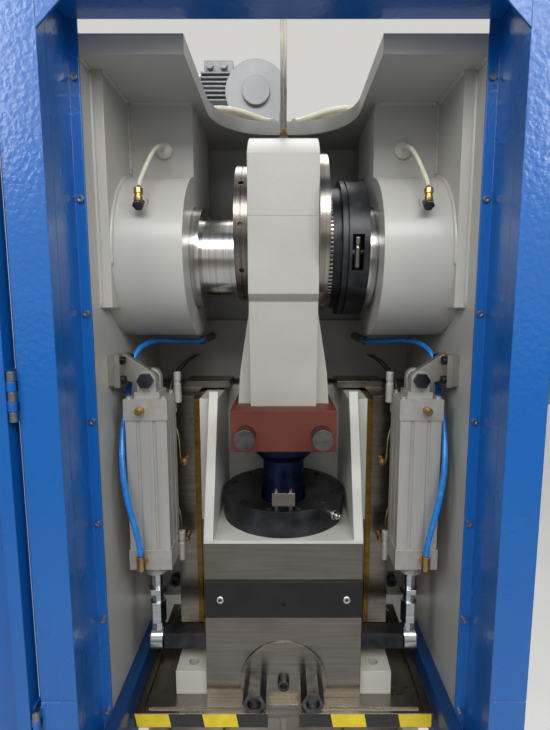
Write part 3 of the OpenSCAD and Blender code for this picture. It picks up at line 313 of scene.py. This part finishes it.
# Bolster and guides: the bolster plate and the guide rails are ground steel, bolted in. The
# liners that the slide runs on are bronze, and its screws and feet are blackened.
def cut_steel(name, code, shade, streak, rough=0.28, depth=0.00001, oily=0.35, metallic=1.0):
    """Bare metal: tool marks along the axis whose count per metre in streak is small, a little
    sharper than real ones, and oil in patches 90 mm wide that darkens it by the share oily."""
    material, tree, shader, place = new_finish(name, metallic)
    lined = add(tree, "Mapping", {"Vector": place, "Scale": streak}).outputs["Vector"]
    marks = add(tree, "TexNoise", {"Vector": lined, "Scale": 1.0, "Detail": 5.0}).outputs["Fac"]
    oil = add(tree, "TexNoise", {"Vector": place, "Scale": 11.0, "Detail": 4.0}).outputs["Fac"]
    film = add(tree, "MapRange", {"Value": oil, "From Min": 0.48, "From Max": 0.72, "To Max": oily})
    bright = add(tree, "ValToRGB", {"Fac": marks}, [(0.3, linear(shade)), (0.7, linear(code))])
    colour = add(tree, "Mix", {0: film.outputs["Result"], 6: bright.outputs["Color"],
                               7: linear(shade)}, data_type="RGBA")
    gloss = add(tree, "MapRange", {"Value": oil, "From Min": 0.3, "From Max": 0.7,
                                   "To Min": rough + 0.05, "To Max": rough - 0.05})
    edge = add(tree, "Bevel", {"Radius": 0.0012}, samples=4).outputs["Normal"]
    bump = add(tree, "Bump", {"Height": marks, "Distance": depth, "Strength": 0.5, "Normal": edge})
    tree.links.new(colour.outputs[2], shader.inputs["Base Color"])
    tree.links.new(gloss.outputs["Result"], shader.inputs["Roughness"])
    tree.links.new(bump.outputs["Normal"], shader.inputs["Normal"])
    return material


def blackened_steel(name, code, shade, rough=0.34, metallic=0.75):
    """Black oxide under oil: a deep brown-black in clouds 35 mm wide, duller where it is dry."""
    material, tree, shader, place = new_finish(name, metallic)
    cloud = add(tree, "TexNoise", {"Vector": place, "Scale": 28.0, "Detail": 5.0}).outputs["Fac"]
    colour = add(tree, "ValToRGB", {"Fac": cloud}, [(0.35, linear(shade)), (0.7, linear(code))])
    gloss = add(tree, "MapRange", {"Value": cloud, "From Min": 0.3, "From Max": 0.7,
                                   "To Min": rough - 0.05, "To Max": rough + 0.12})
    edge = add(tree, "Bevel", {"Radius": 0.0012}, samples=4).outputs["Normal"]
    tree.links.new(edge, shader.inputs["Normal"])
    tree.links.new(colour.outputs["Color"], shader.inputs["Base Color"])
    tree.links.new(gloss.outputs["Result"], shader.inputs["Roughness"])
    return material


ground_steel = cut_steel("ground_steel", "908b83", "787369", (8, 8, 160))
oxide = blackened_steel("oiled_black_oxide", "434448", "1d1e20")
dress(["guide_rail_left", "guide_rail_right", "bolster_plate"], ground_steel)
dress(["guide_liners"], cut_steel("scraped_bronze", "96742f", "6b5326", (30, 30, 60), 0.34))
dress(["frame_screws", "levelling_feet"], oxide)
dress(["grease_nipples"], cut_steel("turned_brass", "c9a870", "a8854c", (300, 20, 20), 0.3))

# Crankshaft: forged and turned, polished where it runs, in bronze bushes behind steel rings.
# Turning leaves rings round the shaft, so its marks are fine along X only.
turned_steel = cut_steel("turned_steel", "d3d1cd", "a8a6a1", (420, 6, 6), 0.2, 0.000006, 0.2)
dress(["crankshaft", "seal_rings"], turned_steel)
dress(["main_bearings"], cut_steel("turned_bronze", "a08048", "7b6033", (300, 6, 6), 0.3))

# Stroke adjusting coupling: a polished eccentric bush with face teeth on its flange, which the
# blackened toothed ring locks and the slotted nut holds. Bright tommy pins stand in the nut's
# slots, to turn it by.
dress(["stroke_bush"], cut_steel("polished_steel", "b0aaa2", "8b857d", (420, 6, 6), 0.2,
                                 0.000004, 0.3))
dress(["locking_ring"], cut_steel("oiled_turned_steel", "8a8279", "6b645c", (420, 6, 6), 0.26,
                                  0.000006))
dress(["toothed_ring", "slotted_nut"], oxide)
cast_iron = cut_steel("turned_cast_iron", "6f7477", "55595b", (300, 15, 15), 0.42)
dress(["clutch_hub"], cast_iron)
NUT_CENTRE = (0.1263, 0.0, 1.967)
PINS, PIN_OUT, PIN_TURN_DEG = 4, 0.109, 8.5
PIN_OUTLINE_MM = [(5, -27), (7, -25), (7, 8), (5.5, 9.5), (5.5, 12.5), (7, 14), (7, 25), (6, 26)]


def turned(name, outline, centre, axis, material, body, sides=32):
    """A turned piece: each (radius, way) of the outline, in mm, is a ring round the axis from
    centre. Two unit vectors square to the axis carry the ring round."""
    radius, way = np.array(outline, float).T / 1000
    axis = np.asarray(axis, float) / np.linalg.norm(axis)
    side = np.cross(axis, (0, 0, 1) if abs(axis[2]) < 0.9 else (1, 0, 0))
    side /= np.linalg.norm(side)
    turn = np.linspace(0, 2 * math.pi, sides, endpoint=False)[None, :, None]
    ring = np.cos(turn) * side + np.sin(turn) * np.cross(axis, side)
    points = np.asarray(centre, float) + way[:, None, None] * axis + radius[:, None, None] * ring
    return surface(name, points, material, body)


for k in range(PINS):
    lean = math.radians(360 / PINS * k + PIN_TURN_DEG)
    out = np.array((0, -math.sin(lean), math.cos(lean)))
    turned(f"tommy_pin_{k + 1}", PIN_OUTLINE_MM, out * PIN_OUT + NUT_CENTRE,
           (0, out[2], -out[1]), turned_steel, "crank")

# Connecting rod: a casting filled and painted like the frame, its cap parted across the big
# end. Below, a red primed clamp with two oiled screws grips the ball spindle, black oxide whose
# navy tint is a painted reflection of the blue cover.
rod_enamel = sprayed_enamel("stippled_grey_enamel", "b4b3ab", "a9a8a0", 3.4, 0.0005, 0.42)
dress(["conrod", "conrod_cap"], rod_enamel)
dress(["clamp_block"], sprayed_enamel("red_oxide_primer", "652a1c", "542015", rough=0.55, coat=0.0))
dress(["clamp_nuts"], cut_steel("oiled_dark_steel", "6c6c6c", "403f3e", (60, 60, 60), 0.3))
dress(["clamp_bolts"], cut_steel("phosphated_steel", "868482", "5c5a57", (60, 60, 60), 0.34))
# The spindle's navy colour is a painted reflection of the blue cover on its black oxide.
dress(["ball_spindle"], blackened_steel("black_oxide_with_painted_blue_reflection", "22305c", "10182f", 0.28))


# Slide: a grey iron casting. Its front and guide faces are ground and oiled, and the pocket
# over the ball joint is painted cream, inside and along its rim.
def ground_and_painted_casting(paint_from):
    """Ground steel below the height paint_from, in metres, and cream paint above it. Oil lies on
    the steel in patches 140 mm wide, and the tool marks are about 6 mm apart up the face."""
    material, tree, shader, place = new_finish("ground_and_painted_casting")
    height = add(tree, "SeparateXYZ", {"Vector": place}).outputs["Z"]
    painted = add(tree, "Math", {0: height, 1: paint_from}, operation="GREATER_THAN").outputs[0]
    bare = add(tree, "Math", {0: 1.0, 1: painted}, operation="SUBTRACT").outputs[0]
    lined = add(tree, "Mapping", {"Vector": place, "Scale": (8, 8, 160)}).outputs["Vector"]
    marks = add(tree, "TexNoise", {"Vector": lined, "Scale": 1.0, "Detail": 5.0}).outputs["Fac"]
    oil = add(tree, "TexNoise", {"Vector": place, "Scale": 7.0, "Detail": 5.0}).outputs["Fac"]
    film = add(tree, "MapRange", {"Value": oil, "From Min": 0.45, "From Max": 0.7, "To Max": 0.6})
    steel = add(tree, "ValToRGB", {"Fac": marks},
                [(0.3, linear("78736b")), (0.7, linear("8a857c"))])
    oiled = add(tree, "Mix", {0: film.outputs["Result"], 6: steel.outputs["Color"],
                              7: linear("625d55")}, data_type="RGBA")
    cream = add(tree, "ValToRGB", {"Fac": oil}, [(0.35, linear("b9b9b2")), (0.6, linear("c9c9c2"))])
    colour = add(tree, "Mix", {0: painted, 6: oiled.outputs[2], 7: cream.outputs["Color"]},
                 data_type="RGBA")
    gloss = add(tree, "MapRange", {"Value": painted, "To Min": 0.26, "To Max": 0.4})
    edge = add(tree, "Bevel", {"Radius": 0.002}, samples=4).outputs["Normal"]
    tree.links.new(colour.outputs[2], shader.inputs["Base Color"])
    tree.links.new(bare, shader.inputs["Metallic"])
    tree.links.new(gloss.outputs["Result"], shader.inputs["Roughness"])
    tree.links.new(edge, shader.inputs["Normal"])
    return material


PAINT_UNDER_DISC = 0.006
disc_low, disc_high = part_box("ball_retainer")
dress(["slide"], ground_and_painted_casting(disc_low[2] - PAINT_UNDER_DISC))
dress(["ball_retainer", "retainer_screws", "lift_bars"], oxide)
dress(["lock_block", "shank_clamp", "ram_plate"], ground_steel)
dress(["stop_blocks"], sprayed_enamel("cream_sprayed_enamel", "bcbbb0", "afaea3"))

# Front strip: a bar of brushed steel, blackened, that lies across the slide's ground front. Two
# bright socket screws hold it, one near each end.
STRIP_SCREW_X, STRIP_SCREW_UP, STRIP_SCREW_IN = 0.115, 0.036, 0.003
dress(["front_strip"], blackened_steel("black_brushed_steel", "2b2b2c", "242424", 0.42, 0.5))
strip_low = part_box("front_strip")[0]
SCREW_OUTLINE_MM = [(3, 1), (3, 3.6), (6.2, 3.6), (7.3, 2.6), (7.3, 0.2)]
for side, word in SIDES:
    turned("strip_screw_" + word, SCREW_OUTLINE_MM,
           (side * STRIP_SCREW_X, strip_low[1] + STRIP_SCREW_IN, strip_low[2] + STRIP_SCREW_UP),
           (0, -1, 0), turned_steel, "ram")

# Pressure fitting: a turned steel nipple on a collar, screwed into the side of the ball
# retaining disc, to the viewer's right.
FITTING_OUTLINE_MM = [(5.4, -6), (5.6, -0.5), (9.5, 0), (9.5, 4), (7.6, 5), (7.6, 11), (5, 12),
                      (5, 17), (4, 18)]
FITTING_TURN_DEG, FITTING_UP = -40, 0.026
fitting_turn = math.radians(FITTING_TURN_DEG)
fitting_out = np.array((math.cos(fitting_turn), math.sin(fitting_turn), 0))
turned("disc_fitting", FITTING_OUTLINE_MM,
       fitting_out * disc_high[0] + (0, 0, disc_low[2] + FITTING_UP), fitting_out,
       turned_steel, "ram")


# Hazard tape: yellow and black vinyl, stuck along the ram plate's front edge on both sides of
# its slot. It is printed in slanting bands 60 mm wide, and follows the plate's small waves.
def banded_vinyl(band, lean, top, start):
    """Bands along X from start, of this width in metres, that lean by the slope given below top.
    Dust dulls them in clouds 22 mm wide."""
    material, tree, shader, place = new_finish("yellow_and_black_vinyl", coat=0.2)
    split = add(tree, "SeparateXYZ", {"Vector": place})
    drop = add(tree, "Math", {0: split.outputs["Z"], 1: -lean, 2: lean * top + start},
               operation="MULTIPLY_ADD")
    along = add(tree, "Math", {0: split.outputs["X"], 1: drop.outputs[0]}, operation="SUBTRACT")
    shifted = add(tree, "Math", {0: along.outputs[0], 1: 0.5 / band}, operation="MULTIPLY")
    part = add(tree, "Math", {0: shifted.outputs[0]}, operation="FRACT")
    black = add(tree, "Math", {0: part.outputs[0], 1: 0.5}, operation="GREATER_THAN")
    dust = add(tree, "TexNoise", {"Vector": place, "Scale": 45.0, "Detail": 5.0}).outputs["Fac"]
    yellow = add(tree, "ValToRGB", {"Fac": dust},
                 [(0.35, linear("d9bf12")), (0.7, linear("ecd321"))])
    ink = add(tree, "ValToRGB", {"Fac": dust}, [(0.35, linear("141414")), (0.7, linear("242424"))])
    colour = add(tree, "Mix", {0: black.outputs[0], 6: yellow.outputs["Color"],
                               7: ink.outputs["Color"]}, data_type="RGBA")
    gloss = add(tree, "MapRange", {"Value": dust, "To Min": 0.3, "To Max": 0.5})
    tree.links.new(colour.outputs[2], shader.inputs["Base Color"])
    tree.links.new(gloss.outputs["Result"], shader.inputs["Roughness"])
    return material


plate_low, plate_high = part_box("ram_plate")
TAPE_T = 0.0004
TAPE_EDGE = 0.0012
TAPE_IN = 0.0002
TAPE_BAND, TAPE_LEAN = 0.0614, 0.18
WAVE_H, WAVE_PER_M = 0.00012, 210
# Each tape has its left end, its right end and the place where a yellow band starts.
TAPES = {"left": (-0.2705, -0.0290, -0.2705), "right": (0.0290, 0.2685, -0.0376)}
for word, (left_end, right_end, yellow_from) in TAPES.items():
    tape_vinyl = banded_vinyl(TAPE_BAND, TAPE_LEAN, plate_high[2], yellow_from)
    x = np.linspace(left_end, right_end, 60)[:, None]
    low, high = plate_low[2] + TAPE_EDGE, plate_high[2] - TAPE_EDGE
    z = np.r_[np.linspace(low, high, 6), np.linspace(high, low, 6)][None, :]
    lift = np.r_[np.full(6, TAPE_T), np.full(6, -TAPE_IN)][None, :]
    wave = WAVE_H * np.sin(x * WAVE_PER_M) * (lift > 0)
    tape = np.stack(np.broadcast_arrays(x, plate_low[1] - lift - wave, z), axis=-1)
    surface("hazard_tape_" + word, tape, tape_vinyl, "ram")

# Counterbalance cylinders: extruded aluminium barrels, anodised, between die-cast caps. Hard
# chromed rods end in bright rod eyes, and nickel plated steel brackets carry the clevises.
dress(["cylinder_barrels"], cut_steel("anodised_aluminium", "bfbdb8", "b4b2ac", (300, 300, 3),
                                      0.36, oily=0.1, metallic=0.5))
die_cast = cut_steel("die_cast_aluminium", "b3b1ab", "a5a39d", (60, 60, 60), 0.42, oily=0.2,
                     metallic=0.4)
dress(["cylinder_caps"], die_cast)
dress(["cylinder_brackets"], cut_steel("nickel_plated_steel", "a9a59c", "908c83", (40, 40, 40),
                                       0.4, metallic=0.7))
dress(["piston_rods"], cut_steel("hard_chrome", "c4c7ca", "a9acaf", (12, 12, 400), 0.16,
                                 0.000004, 0.15))

# Flow regulators: small die-cast cylinders with waists, screwed to the inner side of each cap,
# which set how fast the air passes.
REGULATOR_OUTLINE_MM = [(4, 0), (6.5, 1), (6.5, 34), (5.2, 35), (5.2, 40), (6.5, 41), (6.5, 56),
                        (5, 57)]
REGULATOR_X, REGULATOR_Y = 0.1925, -0.088
REGULATOR_BELOW_TOP, REGULATOR_ABOVE_FOOT = 0.064, 0.010
cap_low, cap_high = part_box("cylinder_caps")
for side, word in SIDES:
    for level, z in (("top", cap_high[2] - REGULATOR_BELOW_TOP),
                     ("bottom", cap_low[2] + REGULATOR_ABOVE_FOOT)):
        turned(f"flow_regulator_{level}_{word}", REGULATOR_OUTLINE_MM,
               (side * REGULATOR_X, REGULATOR_Y, z), (0, 0, 1), die_cast, "frame")

# Air fittings: brass elbows in the cylinders' lower ports, and black nylon plugs under the
# bearing housings. The tubes are pushed into both, and one CAD node holds them all.
brass = cut_steel("brass_fitting", "c4a26c", "a5834f", (60, 60, 60), 0.3)
PLUG_FROM_Y = 0.0
fittings = brass.copy()
fittings.name = "brass_and_black_nylon_fittings"
tree = fittings.node_tree
shader = tree.nodes["Principled BSDF"]
depth = add(tree, "SeparateXYZ", {"Vector": tree.nodes["Texture Coordinate"].outputs["Object"]})
nylon = add(tree, "Math", {0: depth.outputs["Y"], 1: PLUG_FROM_Y},
            operation="GREATER_THAN").outputs[0]
metal = add(tree, "Math", {0: 1.0, 1: nylon}, operation="SUBTRACT").outputs[0]
two_tone = add(tree, "Mix", {0: nylon, 6: shader.inputs["Base Color"].links[0].from_socket,
                             7: linear("1d1f22")}, data_type="RGBA")
tree.links.new(two_tone.outputs[2], shader.inputs["Base Color"])
tree.links.new(metal, shader.inputs["Metallic"])
dress(["air_elbows"], fittings)

# Oil pipes: cream nylon pipe, 7 mm outside, from a cream plug in each bearing box down to a
# push-in fitting on the housing: a brass elbow in a black nut.
OIL_ROUTE_MM = [[217, -38, 2140], [217, -52, 2140], [219, -75, 2132], [223, -100, 2112],
                [228, -125, 2082], [231, -142, 2060], [231.6, -147, 2050]]
OIL_PIPE_R = 0.0035
ELBOW_OUTLINE_MM = [(4.6, 0), (6.2, 0.4), (7.0, 2), (7.0, 9), (5.8, 10), (5.8, 13), (7.4, 14),
                    (7.4, 22), (6.6, 23)]
NUT_OUTLINE_MM = [(7, -2), (9.5, -1), (9.5, 11), (8.2, 12.4), (7.0, 12.6)]
PLUG_OUTLINE_MM = [(3.4, 9), (5, 8.6), (13.5, 7), (15, 5.4), (15.2, 0.2)]
PLUG_AT, ELBOW_AT, NUT_AT = (0.217, -0.029, 2.140), (0.232, -0.1525, 2.024), (0.232, -0.147, 2.0255)
ELBOW_AXIS, NUT_AXIS = (0, 0.15, 1), (0, -0.75, -0.66)
cream_nylon = extruded_plastic("cream_nylon_pipe", "d9d4c0", "cbc5ae", 0.32)
plug_nylon = extruded_plastic("cream_moulded_plug", "cfcdc4", "c2c0b6", 0.4)
black_plastic = extruded_plastic("black_moulded_nylon", "24262a", "191b1e", 0.42)
for side, word in SIDES:
    mirror = np.array((side, 1, 1))
    route = smooth_route(np.array(OIL_ROUTE_MM) / 1000 * mirror)
    oil_parts = (
        surface("oil_pipe_" + word, ring_round(route, OIL_PIPE_R, (1, 0, 0)), cream_nylon, "frame"),
        turned("oil_plug_" + word, PLUG_OUTLINE_MM, PLUG_AT * mirror, (0, -1, 0), plug_nylon,
               "frame"),
        turned("oil_elbow_" + word, ELBOW_OUTLINE_MM, ELBOW_AT * mirror, ELBOW_AXIS, brass,
               "frame", 24),
        turned("oil_nut_" + word, NUT_OUTLINE_MM, NUT_AT * mirror, NUT_AXIS, black_plastic,
               "frame", 6))
    for piece in oil_parts:
        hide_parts("oil_pipes")

# Oil lines: thin copper pipe, 4 mm outside, bent by hand. One leaves each grease point on the
# guide rails, runs up beside the rail and goes into the rear beam under the housing.
COPPER_PIPE_R = 0.002
NIPPLE_X, NIPPLE_Y = 0.1928, -0.058
RAIL_Z, RAIL_H = 1.210, 0.476
# Each line has the share of the rail's height where it starts, and the X it rises at.
OIL_LINES = {"low": (0.4, 0.218), "high": (0.735, 0.226)}
dull_copper = cut_steel("dull_copper_pipe", "7d7458", "5f583f", (60, 60, 60), 0.4)
for side, word in SIDES:
    for level, (share, lane) in OIL_LINES.items():
        z = RAIL_Z + RAIL_H * share
        route = smooth_route([(NIPPLE_X, NIPPLE_Y, z), (NIPPLE_X, NIPPLE_Y - 0.007, z + 0.002),
                              (NIPPLE_X + 0.003, NIPPLE_Y - 0.008, z + 0.016),
                              (NIPPLE_X + 0.010, NIPPLE_Y + 0.004, z + 0.060),
                              (lane, -0.030, z + 0.100), (lane, -0.012, 1.690),
                              (lane - 0.004, 0.020, 1.722), (lane - 0.010, 0.080, 1.738),
                              (lane - 0.014, 0.150, 1.742), (lane - 0.014, 0.203, 1.742)], 8)
        rings = ring_round(route * (side, 1, 1), COPPER_PIPE_R, (1, 0, 0), 10)
        surface(f"oil_line_{level}_{word}", rings, dull_copper, "frame")

# On the crown: a small worm gear motor in grey enamel, loops of cream hose for the central
# oiling, and a blackened guide that the rod's two oil tubes slide in.
dress(["gear_motor", "main_motor"], sprayed_enamel("motor_grey_enamel", "8a8d8f", "7a7d7f", 2.0))
dress(["hose_guide"], oxide)
HOSES = 3
HOSE_R = 0.006
CROWN_TOP = 2.251
COIL_X, COIL_Y, COIL_R = 0.086, 0.250, 0.062
COIL_STEP_Y, COIL_STEP_Z, COIL_STEP_R = 0.016, 0.0001, 0.013
sweep = np.radians(np.linspace(205, 335, 48))
for side, word in SIDES:
    for k in range(HOSES):
        bend = COIL_R + COIL_STEP_R * k
        loop = np.stack([side * (COIL_X + bend * np.cos(sweep)),
                         COIL_Y + COIL_STEP_Y * k + bend * np.sin(sweep),
                         np.full(len(sweep), CROWN_TOP + HOSE_R + COIL_STEP_Z * k)], axis=-1)
        hose = surface(f"oil_hose_{word}_{k + 1}", ring_round(loop, HOSE_R, (0, 0, 1), 14),
                       cream_nylon, "frame")
        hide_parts("hose_bundles")

# Hose arches: the same cream hose, which rises from the crown near its middle and bends over
# to its sides, three lengths to a side.
ARCH_MM = [[22, 148, 2257], [34, 172, 2266], [62, 190, 2281], [100, 197, 2296], [150, 200, 2303],
           [196, 205, 2292], [226, 210, 2270], [240, 214, 2257]]
ARCH_STEP_MM = (3, 15, 0)
ARCH_R = 0.0055
for side, word in SIDES:
    for k in range(HOSES):
        corners = (np.array(ARCH_MM) + np.multiply(k, ARCH_STEP_MM)) / 1000
        arch = smooth_route(corners * (side, 1, 1))
        surface(f"oil_arch_{word}_{k + 1}", ring_round(arch, ARCH_R, (0, 1, 0), 14), cream_nylon,
                "frame")

# Rod tubes: two nylon tubes, 6 mm outside, that bring oil to the rod. They stand in a brass
# fitting on the big end and slide in the hose guide. Light goes far into them, and their colour
# is painted paler than the cream hose's, as painted light against the shade of the header.
ROD_TUBE_R = 0.0029
ROD_TUBE_X = 0.0031
ROD_TUBE_IN = 0.012
ROD_TUBE_BOW, ROD_TUBE_BOWS = 0.0008, 31
FITTING_STACK_MM = [(6, 0), (8, 1), (8, 9), (6.5, 10), (6.5, 16), (5.8, 17)]
rod_low, rod_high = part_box("conrod_tubes")
# Painted light: the tubes' cream is set paler than the hose's to make up for the header's shade.
nylon_with_painted_light = extruded_plastic("nylon_tube_with_painted_light", "f6efd8", "ebe3c9", 0.3)
nylon_with_painted_light.node_tree.nodes["Principled BSDF"].inputs["Subsurface Weight"].default_value = 0.7
fitting = turned("rod_tube_fitting", FITTING_STACK_MM, (0, 0, rod_low[2]), (0, 0, 1), brass,
                 "rod", 6)
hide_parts("conrod_tubes")
for side, word in SIDES:
    rise = np.linspace(rod_low[2] + ROD_TUBE_IN, rod_high[2], 24)[:, None]
    stem = np.hstack([np.full_like(rise, side * ROD_TUBE_X),
                      ROD_TUBE_BOW * np.sin(rise * ROD_TUBE_BOWS), rise])
    tube = surface("rod_tube_" + word, ring_round(stem, ROD_TUBE_R, (1, 0, 0), 14), nylon_with_painted_light,
                   "rod")
    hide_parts("conrod_tubes")

# Drive: a cast iron flywheel and motor pulley, turned all over. Moulded rubber V-belts join
# them, under a guard of blue sheet that is dressed with the cover.
dress(["flywheel", "motor_pulley"], cast_iron)
dress(["drive_belts"], blackened_steel("moulded_rubber", "202020", "131313", 0.7, 0.0))

# Cover, door and guard: folded sheet steel with a coarse blue powder coat. Its orange peel
# is 4 mm wide and breaks every highlight into white dots. Zinc plated screws and hinges hold it.
powder_coat = sprayed_enamel("blue_powder_coat", "0c60b1", "0b5cab", 4.0, 0.0008, 0.26, 0.5)
dress(["cover_left", "cover_right", "cover_header", "cover_apron", "door", "guard"], powder_coat)
dress(["cover_screws", "door_hinges"], cut_steel("zinc_plated_steel", "a8aaac", "8b8d8f",
                                                 (60, 60, 60), 0.3))

# Sill covers: folded sheet over the ledge on each side of the ram plate, with a 3 mm bend along
# its edges. Their powder coat is the cover's blue, darkened as painted shade for the shadow that
# they lie in.
SILL_LOW_MM, SILL_HIGH_MM = (276, -238, 1092), (300, 60, 1158)
BEND_MM, BEND_POINTS = 3, 6


def rounded_bar(low, high, bend):
    """A bar along Y: its section in X and Z is a rectangle whose corners are arcs of the bend's
    radius, and its end rows are drawn in by the bend, all in mm."""
    arc = np.radians(np.arange(4)[:, None] * 90 + np.linspace(0, 90, BEND_POINTS)[None, :])
    corner = np.array([(high[0], high[2]), (low[0], high[2]), (low[0], low[2]), (high[0], low[2])])
    inner = corner - np.array([(1, 1), (-1, 1), (-1, -1), (1, -1)]) * bend
    rim = inner[:, None] + bend * np.stack([np.cos(arc), np.sin(arc)], axis=-1)
    rim, core = rim.reshape(-1, 2), np.repeat(inner, BEND_POINTS, axis=0)
    rows = [(low[1], core), (low[1] + bend, rim), (high[1] - bend, rim), (high[1], core)]
    rings = [np.c_[ring[:, 0], np.full(len(ring), y), ring[:, 1]] for y, ring in rows]
    return np.stack(rings) / 1000


# The sill covers' darker blue is painted shade, not a paint of their own.
sill_coat_with_painted_shade = sprayed_enamel("blue_powder_coat_with_painted_shade", "0a3a70", "083261", 4.0, 0.0006, 0.34, 0.2)
for side, word in SIDES:
    surface("sill_cover_" + word, rounded_bar(SILL_LOW_MM, SILL_HIGH_MM, BEND_MM) * (side, 1, 1),
            sill_coat_with_painted_shade, "frame")

# Floor: a plain pale sheet that the press stands on, which isn't part of it. A little glow that
# only the camera sees keeps it as pale as the hall, and its shade drifts over half a metre.
FLOOR_HALF = 25.0
FLOOR_SEEN = 0.3
FLOOR_ROUGH = 0.8
floor_mesh = bpy.data.meshes.new("floor")
floor_mesh.from_pydata([(-FLOOR_HALF, -FLOOR_HALF, 0), (FLOOR_HALF, -FLOOR_HALF, 0),
                        (FLOOR_HALF, FLOOR_HALF, 0), (-FLOOR_HALF, FLOOR_HALF, 0)],
                       [], [(0, 1, 2, 3)])
floor = bpy.data.objects.new("floor", floor_mesh)
scene.collection.objects.link(floor)
material, tree, shader, place = new_finish("pale_floor")
cloud = add(tree, "TexNoise", {"Vector": place, "Scale": 2.0}).outputs["Fac"]
shade = add(tree, "ValToRGB", {"Fac": cloud}, [(0.3, linear("d4d5d5")), (0.7, linear("dcdddd"))])
tree.links.new(shade.outputs["Color"], shader.inputs["Base Color"])
shader.inputs["Roughness"].default_value = FLOOR_ROUGH
pale = add(tree, "Math", {0: add(tree, "LightPath").outputs["Is Camera Ray"], 1: FLOOR_SEEN},
           operation="MULTIPLY")
shader.inputs["Emission Color"].default_value = linear("f0f0ef")
tree.links.new(pale.outputs[0], shader.inputs["Emission Strength"])
floor_mesh.materials.append(material)
